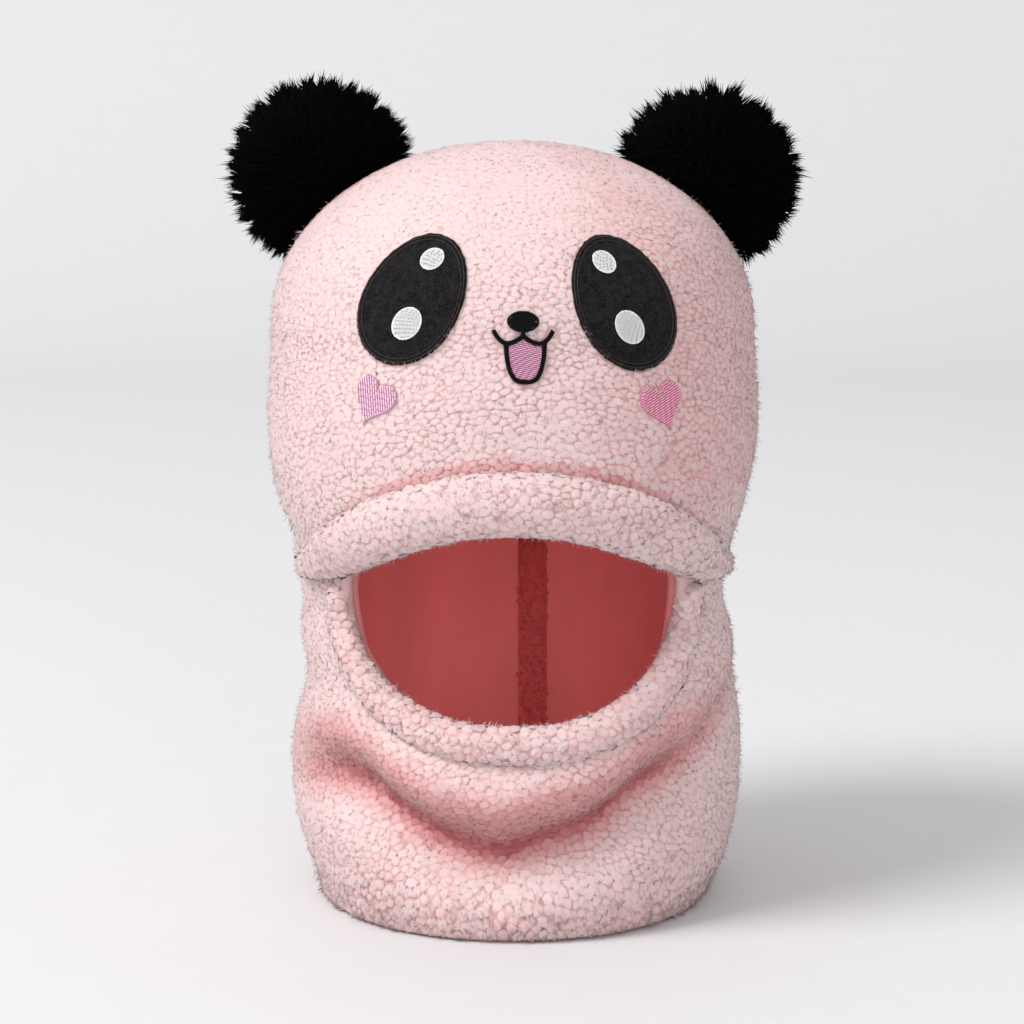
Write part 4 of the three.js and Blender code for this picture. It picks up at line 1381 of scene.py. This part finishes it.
class HOOD_OT_lining(bpy.types.Operator):
    """Build the lining and the fleecy strip down its back"""

    bl_idname = "hood.lining"
    bl_label = "Lining"

    def execute(self, context):
        settings = context.scene.hood_lining
        rng = np.random.default_rng(12)
        shader = Shader("lining_rose")
        drifts = shader.noise(26, 3, (1, 1, 0.35))
        tint = shader.ramp(drifts, [(0.3, 0.0), (0.7, 1.0)])
        base = np.array(settings.colour)
        mixed = shader.blend(tint, (*(base * 0.82), 1), (*(base * 1.12), 1))
        # The tone paints shade in the rim colour round the face hole.
        mixed = shader.blend(shader.tone(), (*settings.rim_shade_colour, 1), mixed)
        nap = shader.noise(1500, 3) + shader.noise(260, 2)
        material = shader.finish(
            mixed,
            0.85,
            shader.bump(nap, 0.0004, 0.5),
            Sheen_Weight=0.25,
            Specular_IOR_Level=0.15,
            # Painted light: a rose emission makes the lining glow.
            Emission_Color=(0.32, 0.1, 0.1, 1),
            Emission_Strength=settings.painted_glow,
        )
        lowest = LINING_HEM_RISE / SHOULDER_HEIGHT

        def shown(angle, travel):
            travel = np.maximum(travel, lowest)
            folds = lining_folds(angle, travel, settings.fold_depth)
            return off_body(angle, travel, -(LAYERS + folds))

        def hidden(angle, travel):
            travel = np.maximum(travel, lowest)
            clear = 0.0007 * crease_share(angle, travel * SHOULDER_HEIGHT)
            return off_body(angle, travel, -(FLEECE_WALL + SEAT_GAP + clear))

        columns, rows = ((144, 144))
        wall, _ = hood_wall(columns, rows, 2, shown, hidden, True)
        # Painted shade: the tone falls near the face hole's edge, at the front.
        rim = opening_point(np.linspace(0, 2 * math.pi, 120), 0.0)
        away = np.linalg.norm(wall.points[:, None, [0, 2]] - rim[None], axis=2).min(1)
        shaded = np.exp(-((away / 0.005) ** 2)) * (wall.points[:, 1] < SET_BACK)
        make_piece("lining_cloth", wall, material, 1 - shaded, ["lining"])
        self.strip(settings, rng)
        return {"FINISHED"}

    def strip(self, settings, rng):
        """The strip is a band of short dark pile."""
        low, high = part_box("back_seam")
        middle_angle = math.pi - math.asin(0.0085 / BACK_DEPTH)
        half_angle = math.asin(0.0065 / BACK_DEPTH)
        columns, rows = 12, 120
        across = np.linspace(-1, 1, columns + 1)
        travels = np.linspace(low.z / SHOULDER_HEIGHT, high.z / SHOULDER_HEIGHT, rows + 1)
        u, t = np.meshgrid(across, travels, indexing="ij")
        face = LAYERS + SEAT_GAP + 0.0008
        angle = (middle_angle + u * half_angle).ravel()
        crowned = (0.0012 * (1 - u**2)).ravel()
        front = off_body(angle, t.ravel(), -(face + crowned))
        back = off_body(angle, t.ravel(), np.full(len(angle), -face))
        index = np.arange(len(angle)).reshape(u.shape)
        a, b, c, d = index[:-1, :-1], index[1:, :-1], index[1:, 1:], index[:-1, 1:]
        quads = np.stack([a, d, c, b], -1).reshape(-1, 4)
        others = quads[:, ::-1] + len(angle)
        ring = np.concatenate([index[:, 0], index[-1, 1:], index[-2::-1, -1], index[0, -2:0:-1]])
        ahead = np.roll(ring, -1)
        sides = np.stack([ring, ring + len(angle), ahead + len(angle), ahead], 1)
        band = Shape(np.concatenate([front, back]), [np.concatenate([quads, others, sides])])
        dark = np.array(settings.strip_colour)
        nap = plush("lining_strip", dark * 0.3, dark * 0.5, dark * 1.2, 0.2)
        make_piece("back_strip", band, nap, None, ["back_seam"])
        skin = Shape(band.points, [quads])

        def down(points, normals):
            way = np.array([0.3, 0.0, -1.0])
            return unit(way - normals * (normals @ way)[:, None])

        def curl(points):
            return np.full(len(points), 1.2)

        clumps = Clumps(skin, 0.0016, np.array, down, curl, rng)
        roots, normals = scatter(skin, STRIP_PILE_DENSITY, rng)
        coat = Coat(len(roots), 0.002, 0.0008, 0.45, 0.6, 0.9)
        grown, tones = pile(roots, normals, clumps, coat, rng)
        make_piece("back_strip_pile", grown, nap, tones)


# The padded rolls


def roll_path_brim(settings):
    """The brim's path: an arch over the hole whose ends hang and taper. Rows of x, height, lift,
    across, through."""
    place = np.linspace(-1, 1, 61)
    share_out = np.abs(place)
    across = settings.brim_height * (1 - 0.96 * share_out**6) ** 0.5
    through = settings.brim_padding * (1 - 0.94 * share_out**3) ** 0.5
    height = OPENING_CORNER_HEIGHT + OPENING_RISE + BRIM_RISE - BRIM_DROOP * share_out**2.2
    lift = np.full(len(place), settings.brim_padding * 0.18)
    return np.stack([BRIM_SPAN / 2 * place, height, lift, across, through], 1)


def roll_path_collar(settings):
    """The collar's path: round the hole's lower edge from the left corner to the right one, where
    it is fuller."""
    share_round = np.linspace(0, 1, 61)
    turn = math.pi * (1 + share_round)
    fullness = (0.75 + 0.25 * np.abs(np.sin(turn)) ** 0.5) * (0.95 + 0.25 * share_round)
    spots = opening_point(turn, settings.collar_height * 0.2)
    across, through = settings.collar_height * fullness, settings.collar_padding * fullness
    return np.column_stack([spots, np.zeros(len(turn)), across, through])


def roll_shape(path, sides, shrink):
    """A closed roll along a path on the front of the body."""
    spots = off_face(path[:, 0], path[:, 1], path[:, 2])
    out = unit(off_face(path[:, 0], path[:, 1], path[:, 2] + 0.001) - spots)
    ahead = np.gradient(spots, axis=0)
    across = unit(np.cross(out, ahead))
    turn = np.arange(sides) * 2 * math.pi / sides
    rings = (
        spots[:, None]
        + across[:, None] * (path[:, 3] / 2 * shrink)[:, None, None] * np.cos(turn)[None, :, None]
        + out[:, None] * (path[:, 4] / 2 * shrink)[:, None, None] * np.sin(turn)[None, :, None]
    )
    count = len(path)
    index = np.arange(count * sides).reshape(count, sides)
    after = np.roll(index, -1, axis=1)
    quads = np.stack([index[:-1], after[:-1], after[1:], index[1:]], -1).reshape(-1, 4)
    first, last = count * sides, count * sides + 1
    start = np.stack([np.full(sides, first), after[0], index[0]], 1)
    end = np.stack([np.full(sides, last), index[-1], after[-1]], 1)
    points = np.concatenate([rings.reshape(-1, 3), spots[:1], spots[-1:]])
    return facing_out(Shape(points, [quads, np.concatenate([start, end])]))


def facing_out(shape):
    """A closed shape with its faces turned outwards."""
    tris = shape.triangles()
    a, b, c = (shape.points[tris[:, k]] for k in range(3))
    volume = (a * np.cross(b, c)).sum()
    if volume < 0:
        return Shape(shape.points, [each[:, ::-1] for each in shape.faces])
    return shape


def apply_modifiers(piece):
    """Gives a piece the mesh that its modifiers make, and takes them off it."""
    graph = bpy.context.evaluated_depsgraph_get()
    made = bpy.data.meshes.new_from_object(piece.evaluated_get(graph))
    piece.modifiers.clear()
    old, piece.data = piece.data, made
    bpy.data.meshes.remove(old)


def coordinates(mesh):
    """A mesh's points."""
    points = np.empty(len(mesh.vertices) * 3, np.float32)
    mesh.vertices.foreach_get("co", points)
    return points.reshape(-1, 3).astype(float)


def stuffed(shape, voxel, pressure, cap):
    """The shape that a sewn case of this form takes when it is filled: the cloth is simulated under
    pressure from within, and no point moves further than the cap."""
    mesh = bpy.data.meshes.new("case")
    faces = [tuple(face) for each in shape.faces for face in each.tolist()]
    mesh.from_pydata(shape.points.tolist(), [], faces)
    case = bpy.data.objects.new("case", mesh)
    bpy.context.scene.collection.objects.link(case)
    even = case.modifiers.new("Even", "REMESH")
    even.mode = "VOXEL"
    even.voxel_size = voxel
    apply_modifiers(case)
    before = coordinates(case.data)
    cloth = case.modifiers.new("Cloth", "CLOTH")
    cloth.settings.quality = 6
    cloth.settings.use_pressure = True
    cloth.settings.uniform_pressure_force = pressure
    cloth.settings.effector_weights.gravity = 0
    cloth.settings.bending_stiffness = 0.15
    for number in range(1, 21):
        bpy.context.scene.frame_set(number)
    apply_modifiers(case)
    bpy.context.scene.frame_set(1)
    moved = coordinates(case.data) - before
    far = np.linalg.norm(moved, axis=1, keepdims=True)
    after = before + moved * np.minimum(1, cap / np.maximum(far, 1e-9))
    case.data.vertices.foreach_set("co", after.astype(np.float32).ravel())
    smooth = case.modifiers.new("Smooth", "SUBSURF")
    smooth.levels = 1
    apply_modifiers(case)
    found = [tuple(face.vertices) for face in case.data.polygons]
    faces = [np.array([face for face in found if len(face) == corners]) for corners in (4, 3)]
    filled = Shape(coordinates(case.data), faces)
    bpy.data.objects.remove(case)
    return filled


def body_tree():
    """A search tree of the body's outer surface."""
    angles = np.linspace(0, 2 * math.pi, 121)[:-1]
    travels = np.linspace(0, 1.96, 90)
    a, t = np.meshgrid(angles, travels, indexing="ij")
    points = body_point(a, t)
    index = np.arange(a.size).reshape(a.shape)
    after = np.roll(index, -1, axis=0)
    quads = np.stack([index[:, :-1], after[:, :-1], after[:, 1:], index[:, 1:]], -1).reshape(-1, 4)
    cap = index[:, -1].tolist()
    return BVHTree.FromPolygons(points.reshape(-1, 3).tolist(), [*quads.tolist(), cap])


def depth_in_body(tree, points):
    """How far each point is from the body's surface, below 0 inside, with the surface's direction
    there."""
    found = [tree.find_nearest(point) for point in points]
    places = np.array([each[0] for each in found])
    normals = np.array([each[1] for each in found])
    return ((points - places) * normals).sum(1), normals


def pushed_clear(shape, tree, gap):
    """A shape whose points keep a gap to the body."""
    depth, normals = depth_in_body(tree, shape.points)
    push = np.clip(gap - depth, 0, None)
    return Shape(shape.points + normals * push[:, None], shape.faces)


class HOOD_OT_binding(bpy.types.Operator):
    """Build the padded brim over the face hole and the collar roll under it"""

    bl_idname = "hood.binding"
    bl_label = "Brim and collar"

    def execute(self, context):
        settings = context.scene.hood_binding
        self.roll(context, "brim", roll_path_brim(settings), settings.fullness, 21)
        self.roll(context, "collar", roll_path_collar(settings), settings.fullness, 22)
        return {"FINISHED"}

    def roll(self, context, name, path, fullness, seed):
        """One roll, and the pile on it."""
        fleece = context.scene.hood_fleece
        rng = np.random.default_rng(seed)
        filled = stuffed(roll_shape(path, 18, 0.93), 0.0026, 4.0, 0.003)
        material = pink_plush(context)

        def lay(points, normals):
            way = np.array([0.0, 0.0, -1.0])
            return unit(way - normals * (normals @ way)[:, None])

        def warp(points):
            return points * (0.85, 0.85, 1.1)

        def curl(points):
            return np.full(len(points), 1.0)

        clumps = Clumps(filled, fleece.clump_size * 1.05, warp, lay, curl, rng)
        node = {"brim": "brim", "collar": "collar_roll"}[name]
        # The padding's lower tone is painted shade where it shows between the hairs.
        tone = np.full(len(filled.points), 0.5)
        padded = make_piece(f"{name}_padding", filled, material, tone, [node])

        def parting(points, normals):
            """How strongly the roll's pile parts: least under it, at the brim's left end and the
            collar's right."""
            below = np.clip(-normals[:, 2] * 2 - 0.8, 0, 1)
            place = 0.4 - points[:, 0] / 0.05 if name == "brim" else points[:, 0] / 0.03
            return (1 - 0.6 * np.clip(place, 0, 1)) * (1 - 0.6 * below)

        roots, normals = scatter(filled, ROLL_PILE_DENSITY, rng)
        keep = normals[:, 1] < 0.45
        roots, normals = roots[keep], normals[keep]
        parted = parting(roots, normals)
        coat = Coat(len(roots), fleece.pile_length, fleece.hair_width, 0.32, 0.72, parted)
        coat.fluff(0.2, rng)
        grown, tones = pile(roots, normals, clumps, coat, rng)
        make_piece(f"{name}_pile", grown, material, tones)
        chosen = np.nonzero(clumps.normals[:, 1] < 0.55)[0]
        parted = parting(clumps.points[chosen], clumps.normals[chosen])
        # The collar roll takes more painted shade than the brim.
        deeper = np.full(len(chosen), 0.04 if name == "brim" else 0.2)
        made, tones = tufts(clumps, chosen, parted, deeper, 0.0024, 7, rng)
        make_piece(f"{name}_tufts", made, material, tones)


# The ears


def disc_shape(centre, radius, thickness):
    """A stuffed disc that faces the front."""
    rings, sides = 13, 30
    polar = np.linspace(0, math.pi, rings + 2)[1:-1]
    turn = np.arange(sides) * 2 * math.pi / sides
    p, t = np.meshgrid(polar, turn, indexing="ij")
    points = np.stack([
        np.sin(p) ** 0.8 * np.cos(t) * radius,
        -np.cos(p) * thickness / 2,
        np.sin(p) ** 0.8 * np.sin(t) * radius,
    ], -1)
    index = np.arange(rings * sides).reshape(rings, sides)
    after = np.roll(index, -1, axis=1)
    quads = np.stack([index[:-1], after[:-1], after[1:], index[1:]], -1).reshape(-1, 4)
    first, last = rings * sides, rings * sides + 1
    poles = np.array([(0, -thickness / 2, 0), (0, thickness / 2, 0)])
    start = np.stack([np.full(sides, first), after[0], index[0]], 1)
    end = np.stack([np.full(sides, last), index[-1], after[-1]], 1)
    disc = Shape(np.concatenate([points.reshape(-1, 3), poles]), [quads, np.concatenate([start, end])])
    return Shape(disc.points + centre, facing_out(disc).faces)


class HOOD_OT_ears(bpy.types.Operator):
    """Build the stuffed ears and their fur"""

    bl_idname = "hood.ears"
    bl_label = "Ears"

    def execute(self, context):
        settings = context.scene.hood_ears
        black = np.array(settings.fur_colour)
        material = plush("fur_black", black * 0.4, black * 0.6, black * 1.6, 0.0, 0.8, 0.05, gloss=0.03)
        body = body_tree()
        for word, side in SIDES:
            x = side * settings.spacing / 2
            centre = np.array([x, SET_BACK + 0.007, settings.height - x * math.tan(HEAD_LEAN)])
            case = disc_shape(centre, settings.radius, settings.thickness * 0.93)
            self.ear(f"ear_{word}", case, centre, body, material, settings, 31 + side)
        return {"FINISHED"}

    def ear(self, name, case, centre, body, material, settings, seed):
        """One ear: its stuffed disc, seated on the crown, and its fur."""
        rng = np.random.default_rng(seed)
        filled = pushed_clear(stuffed(case, 0.003, 4.0, 0.003), body, SEAT_GAP)
        # Its low tone is painted shade deep in the fur.
        tone = np.full(len(filled.points), 0.2)
        pad = make_piece(f"{name}_stuffing", filled, material, tone, [name])

        def lay(points, normals):
            way = unit(points - centre) + rng.normal(0, 0.3, points.shape)
            return unit(way - normals * (way * normals).sum(1)[:, None])

        def curl(points):
            return np.full(len(points), 0.5)

        clumps = Clumps(filled, 0.0017, np.array, lay, curl, rng)
        roots, normals = scatter(filled, EAR_FUR_DENSITY, rng)
        depth, _ = depth_in_body(body, roots)
        keep = (depth > 0.0012) & ((normals[:, 1] < 0.5) | (rng.random(len(roots)) < 0.5))
        roots, normals = roots[keep], normals[keep]
        coat = Coat(len(roots), settings.fur_length, 0.0007, 0.78, 0.36, 0.3, 0.4)
        grown, tones = pile(roots, normals, clumps, coat, rng)
        make_piece(f"{name}_fur", grown, material, tones)


# The face's felt and stitches


# The way that all the stitches' tops face.
OFF_FACE = unit(np.array([0.0, -1.0, 0.25]))


def bars(starts, ends, ups, width, thickness):
    """Threads from start to end, as closed bars that taper at both ends."""
    count = len(starts)
    axis = unit(ends - starts)
    side = unit(np.cross(axis, ups))
    up = np.cross(side, axis)
    run = ends - starts
    half, high = width / 2, thickness / 2
    rings = []
    for place, size in ((0.0, 0.45), (0.12, 0.9), (0.5, 1.0), (0.88, 0.9), (1.0, 0.45)):
        middle = starts + run * place
        rings.append(np.stack([
            middle + side * half * size,
            middle + up * high * size,
            middle - side * half * size,
            middle - up * high * size,
        ], 1))
    cap = axis * half * 0.3
    points = np.concatenate([*rings, (starts - cap)[:, None], (ends + cap)[:, None]], 1)
    quads, tris = [], []
    for ring in range(4):
        for k in range(4):
            a, b = ring * 4 + k, ring * 4 + (k + 1) % 4
            quads.append((a, a + 4, b + 4, b))
    for k in range(4):
        tris += [(20, k, (k + 1) % 4), (21, 16 + (k + 1) % 4, 16 + k)]
    first = (np.arange(count) * 22)[:, None, None]
    faces = [(first + np.array(each)[None]).reshape(-1, len(each[0])) for each in (quads, tris)]
    shape = Shape(points.reshape(-1, 3), faces)
    one = Shape(points[0] - points[0].mean(0), [np.array(quads), np.array(tris)])
    if facing_out(one).faces[0][0][0] != one.faces[0][0][0]:
        return Shape(shape.points, [each[:, ::-1] for each in shape.faces])
    return shape


def line_stitches(spots, lift, stitch, width, patch=None):
    """Stitches laid end to end along a line of spots, given on a patch or on the face."""

    def at(x, height):
        return patch.points(x, height, lift) if patch else off_features(x, height, lift)

    run = np.concatenate([[0], np.cumsum(np.linalg.norm(np.diff(spots, axis=0), axis=1))])
    count = max(2, int(run[-1] / stitch))
    ends = np.linspace(0, run[-1], count + 1)
    x, height = np.interp(ends, run, spots[:, 0]), np.interp(ends, run, spots[:, 1])
    points = at(x, height)
    ups = np.tile(OFF_FACE, (count, 1))
    return bars(points[:-1], points[1:], ups, width, width)


def fill_stitches(patch, direction, spacing, stitch, width, lift, rng, shrink=0.97):
    """Rows of stitches that fill a patch, each row broken into stitches that start out of step."""
    turn = np.linspace(0, 2 * math.pi, 121)[:-1]
    edge = np.stack(patch.outline(turn), 1) * shrink
    way = np.array([math.cos(direction), math.sin(direction)])
    off = np.array([-way[1], way[0]])
    along, aside = edge @ way, edge @ off
    starts, ends = [], []
    rows = np.arange(aside.min() + spacing / 2, aside.max(), spacing)
    for number, row in enumerate(rows):
        ahead_along, ahead_aside = np.roll(along, -1), np.roll(aside, -1)
        crosses = (aside > row) != (ahead_aside > row)
        share_in = (row - aside[crosses]) / (ahead_aside[crosses] - aside[crosses])
        hits = np.sort(along[crosses] + share_in * (ahead_along[crosses] - along[crosses]))
        for low, high in zip(hits[0::2], hits[1::2]):
            if high - low < width:
                continue
            first = low + stitch * ((number * 0.37) % 1)
            cuts = np.arange(first, high - 0.2 * stitch, stitch) + rng.normal(0, 0.04 * stitch)
            cuts = np.concatenate([[low], cuts[cuts > low + 0.2 * stitch], [high]])
            for from_, to in zip(cuts[:-1], cuts[1:]):
                starts.append(way * (from_ + width * 0.12) + off * row)
                ends.append(way * (to - width * 0.12) + off * row)
    starts, ends = np.array(starts), np.array(ends)
    a = patch.points(starts[:, 0], starts[:, 1], lift)
    b = patch.points(ends[:, 0], ends[:, 1], lift)
    ups = np.tile(OFF_FACE, (len(a), 1))
    return bars(a, b, ups, width, width * 1.1)


def felt_shape(patch, lift, thick, ragged, rng, rings=9, segments=120):
    """A closed flat piece on the face with a rounded, slightly ragged edge."""
    turn = np.arange(segments) * 2 * math.pi / segments
    across, up = patch.outline(turn)
    noise = np.tile(rng.normal(0, 1, segments), 3)
    fray = 1 + ragged * np.convolve(noise, [0.3, 0.4, 0.3], "same")[segments:-segments]
    shares = np.concatenate([np.linspace(0, 0.94, rings)[1:], [0.975, 1.0]])
    heights = np.concatenate([np.full(rings - 1, thick), [thick * 0.92, thick * 0.55]])
    points = [patch.points(np.zeros(1), np.zeros(1), lift + thick)]
    for place, height in zip(shares, heights):
        edge = 1 + (fray - 1) * place**8
        points.append(patch.points(across * place * edge, up * place * edge, lift + height))
    points.append(patch.points(across * fray * 0.99, up * fray * 0.99, lift))
    points.append(patch.points(np.zeros(1), np.zeros(1), lift))
    count = len(shares) + 1
    index = 1 + np.arange(count * segments).reshape(count, segments)
    after = np.roll(index, -1, axis=1)
    quads = np.stack([index[:-1], index[1:], after[1:], after[:-1]], -1).reshape(-1, 4)
    last = 1 + count * segments
    start = np.stack([np.zeros(segments, int), index[0], after[0]], 1)
    end = np.stack([np.full(segments, last), after[-1], index[-1]], 1)
    shape = Shape(np.concatenate(points), [quads, np.concatenate([start, end])])
    middle = shape.points.mean(0)
    return Shape(shape.points, facing_out(Shape(shape.points - middle, shape.faces)).faces)


class HOOD_OT_eyes(bpy.types.Operator):
    """Build the felt eye patches, the stitching round them and their glints"""

    bl_idname = "hood.eyes"
    bl_label = "Eyes"

    def execute(self, context):
        settings = context.scene.hood_face
        rng = np.random.default_rng(41)
        dark = np.array(settings.felt_colour)
        black_felt = felt("felt_black", dark * 0.35, dark * 2.4)
        brown = thread("thread_brown", (0.04, 0.018, 0.015), (0.012, 0.006, 0.006))
        white = np.array(settings.glint_colour)
        bright = thread("thread_white", white, white * 0.72, 0.35)
        turn = np.linspace(0, 2 * math.pi, 181)
        for word, side in SIDES:
            patch = eye_patch(side)
            pad = felt_shape(patch, SEAT_GAP, FELT_THICKNESS, 0.007, rng, 9, 200)
            make_piece(f"eye_{word}_felt", pad, black_felt, None, [f"eye_{word}"])
            edge = np.stack(patch.outline(turn), 1)
            top = SEAT_GAP + FELT_THICKNESS
            lift = top + 0.0001
            seams = [edge * inset for inset in (0.95, 0.895)]
            lines = [line_stitches(seam, lift, 0.0021, 0.00045, patch) for seam in seams]
            make_piece(f"eye_{word}_stitching", joined(lines), brown)
            for name, *numbers in GLINTS:
                spot = glint_patch(side, *numbers)
                lift = top + 0.0002
                rows = fill_stitches(
                    spot, math.radians(8), settings.row_spacing, 0.0024, settings.thread_width, lift, rng
                )
                rim = np.stack(spot.outline(turn), 1)
                ring = line_stitches(rim * 0.93, lift, 0.0012, settings.thread_width * 1.2, spot)
                node = f"glint_{name}_{word}"
                stitches = joined([rows, ring])
                make_piece(f"{node}_stitches", stitches, bright, None, [node])
        return {"FINISHED"}


class HOOD_OT_mouth(bpy.types.Operator):
    """Stitch the nose, the mouth and the tongue"""

    bl_idname = "hood.mouth"
    bl_label = "Nose, mouth and tongue"

    def execute(self, context):
        settings = context.scene.hood_face
        rng = np.random.default_rng(42)
        black = thread("thread_black", (0.007, 0.006, 0.007), (0.003, 0.0025, 0.003), 0.6, 0.12)
        pink = np.array(settings.tongue_colour)
        rose = thread("thread_tongue", pink, pink * 0.8)
        # Painted shade: the backing's dark rose shows in the gaps between the tongue's stitches.
        ground = thread("thread_ground", pink * (0.4, 0.3, 0.35), pink * (0.3, 0.2, 0.25))
        thick = settings.thread_width
        raised = SEAT_GAP + 0.0011
        cushion = felt_shape(nose_patch(), SEAT_GAP, THREAD_THICKNESS * 1.2, 0.004, rng, 5, 60)
        nose_rows = fill_stitches(nose_patch(), 0.0, 0.00042, 0.02, thick, raised + 0.0003, rng, 1.0)
        make_piece("nose_stitches", joined([cushion, nose_rows]), black, None, ["nose"])

        tongue = tongue_patch()
        backing = felt_shape(tongue, SEAT_GAP, THREAD_THICKNESS * 0.8, 0.002, rng, 5, 60)
        rows = fill_stitches(tongue, math.radians(-12), 0.00066, 0.002, thick * 1.1, raised, rng, 0.95)
        make_piece("tongue_backing", backing, ground, None, ["tongue"])
        make_piece("tongue_stitches", rows, rose)

        made = []
        for line in mouth_lines():
            run = np.concatenate([[0], np.cumsum(np.linalg.norm(np.diff(line, axis=0), axis=1))])
            places = np.arange(0, run[-1], 0.00038)
            x, height = np.interp(places, run, line[:, 0]), np.interp(places, run, line[:, 1])
            ahead = unit(np.stack([np.gradient(x), np.gradient(height)], 1))
            aside = np.stack([-ahead[:, 1], ahead[:, 0]], 1) * MOUTH_LINE * 0.52
            slant = ahead * MOUTH_LINE * 0.12
            over = aside + slant
            a = off_features(x + over[:, 0], height + over[:, 1], raised + 0.0002)
            b = off_features(x - over[:, 0], height - over[:, 1], raised + 0.0002)
            ups = np.tile(OFF_FACE, (len(a), 1))
            made.append(bars(a, b, ups, thick, thick * 1.8))
        make_piece("mouth_stitches", joined(made), black, None, ["mouth"])
        return {"FINISHED"}


class HOOD_OT_hearts(bpy.types.Operator):
    """Stitch the hearts on the cheeks"""

    bl_idname = "hood.hearts"
    bl_label = "Hearts"

    def execute(self, context):
        settings = context.scene.hood_face
        rng = np.random.default_rng(43)
        for word, side in SIDES:
            pink = np.array(settings.heart_colour if side < 0 else settings.other_heart_colour)
            lilac = thread(f"thread_pink_{word}", pink, pink * (0.9, 0.8, 0.86))
            # Painted shade: the backing's darker thread shows in the grooves between the rows of stitches.
            shaded = thread(f"thread_shade_{word}", pink * (0.62, 0.4, 0.52), pink * (0.5, 0.3, 0.4))
            patch = heart_patch(side)
            backing = felt_shape(patch, SEAT_GAP, THREAD_THICKNESS * 0.7, 0.002, rng, 5, 80)
            lean = math.radians(-62 if side < 0 else 12)
            rows = fill_stitches(patch, lean, 0.00078, 0.0021, 0.00058, SEAT_GAP + 0.0009, rng)
            make_piece(f"heart_{word}_backing", backing, shaded, None, [f"heart_{word}"])
            make_piece(f"heart_{word}_stitches", rows, lilac)
        return {"FINISHED"}


# The floor, the light and the camera

CAMERA_PLACE = (0.0, -1.14326, 0.300)
CAMERA_AIM = (-0.0007, 0.00675, 0.1375)


def aimed(thing, place, aim):
    """Puts a thing at a place so that it looks at another."""
    thing.location = place
    thing.rotation_euler = (Vector(aim) - Vector(place)).to_track_quat("-Z", "Y").to_euler()


def area_light(name, place, aim, size, energy, tint):
    """A round soft light that shines at a spot."""
    data = bpy.data.lights.new(name, "AREA")
    data.shape = "DISK"
    data.size = size
    data.energy = energy
    data.color = tint
    light = bpy.data.objects.new(name, data)
    bpy.context.scene.collection.objects.link(light)
    aimed(light, place, aim)


class HOOD_OT_stage(bpy.types.Operator):
    """Build the floor, the light and the camera"""

    bl_idname = "hood.stage"
    bl_label = "Stage"

    def execute(self, context):
        settings = context.scene.hood_stage
        shader = Shader("paper")
        specks = shader.noise(60, 2)
        share_in = shader.ramp(specks, [(0.3, 0.0), (0.7, 1.0)])
        pale = np.array(settings.floor_colour)
        mixed = shader.blend(share_in, (*(pale * 0.99), 1), (*pale, 1))
        paper = shader.finish(mixed, 0.7, Specular_IOR_Level=0.1)

        turn = np.linspace(0, math.pi / 2, 17)
        bend, back, near, wide = 0.8, 1.9, -3.0, 4.0
        bent = zip(back + bend * np.sin(turn), bend * (1 - np.cos(turn)))
        profile = [(near, 0.0), *bent, (back + bend, 4.0)]
        points = [(x, y, z) for x in (-wide, wide) for y, z in profile]
        count = len(profile)
        i = np.arange(count - 1)
        quads = np.stack([i, i + count, i + count + 1, i + 1], 1)
        mesh = bpy.data.meshes.new("floor")
        mesh.from_pydata(points, [], quads.tolist())
        mesh.materials.append(paper)
        mesh.shade_smooth()
        floor = bpy.data.objects.new("floor", mesh)
        context.scene.collection.objects.link(floor)

        world = bpy.data.worlds.new("studio")
        world.use_nodes = True
        background = world.node_tree.nodes["Background"]
        background.inputs["Color"].default_value = (1, 1, 1, 1)
        background.inputs["Strength"].default_value = settings.fill_strength
        context.scene.world = world
        aim = (0, 0, 0.1)
        area_light("key", (-2.9, -1.8, 3.7), aim, 2.4, settings.key_power, (1, 0.99, 0.98))
        area_light("front", (0.4, -3.4, 1.0), aim, 1.8, settings.front_power, (1, 1, 1))

        camera = bpy.data.objects.new("camera", bpy.data.cameras.new("camera"))
        camera.data.lens = settings.lens
        camera.data.sensor_width = 36
        camera.data.clip_start = 0.05
        context.scene.collection.objects.link(camera)
        aimed(camera, CAMERA_PLACE, CAMERA_AIM)
        context.scene.camera = camera
        context.scene.view_settings.view_transform = "Standard"
        return {"FINISHED"}


class HOOD_PT_panel(bpy.types.Panel):
    """The hood's pieces, in the sidebar."""

    bl_idname = "HOOD_PT_panel"
    bl_label = "Plush animal hood"
    bl_space_type = "VIEW_3D"
    bl_region_type = "UI"
    bl_category = "Hood"

    def draw(self, context):
        for operator in OPERATORS:
            self.layout.operator(operator.bl_idname)
        for name, group in SETTINGS.items():
            box = self.layout.box()
            for key in group.__annotations__:
                box.prop(getattr(context.scene, name), key)


OPERATORS = (
    HOOD_OT_stage,
    HOOD_OT_fleece,
    HOOD_OT_lining,
    HOOD_OT_binding,
    HOOD_OT_ears,
    HOOD_OT_eyes,
    HOOD_OT_mouth,
    HOOD_OT_hearts,
)


def register():
    """Makes the hood's settings, operators and panel known."""
    for group in (*SETTINGS.values(), *OPERATORS, HOOD_PT_panel):
        bpy.utils.register_class(group)
    for name, group in SETTINGS.items():
        setattr(bpy.types.Scene, name, PointerProperty(type=group))


def unregister():
    """Takes them off again."""
    for name in SETTINGS:
        delattr(bpy.types.Scene, name)
    for group in reversed((*SETTINGS.values(), *OPERATORS, HOOD_PT_panel)):
        bpy.utils.unregister_class(group)


def main():
    """Builds the hood piece by piece."""
    register()
    for operator in OPERATORS:
        module, name = operator.bl_idname.split(".")
        getattr(getattr(bpy.ops, module), name)()


if __name__ == "__main__":
    main()
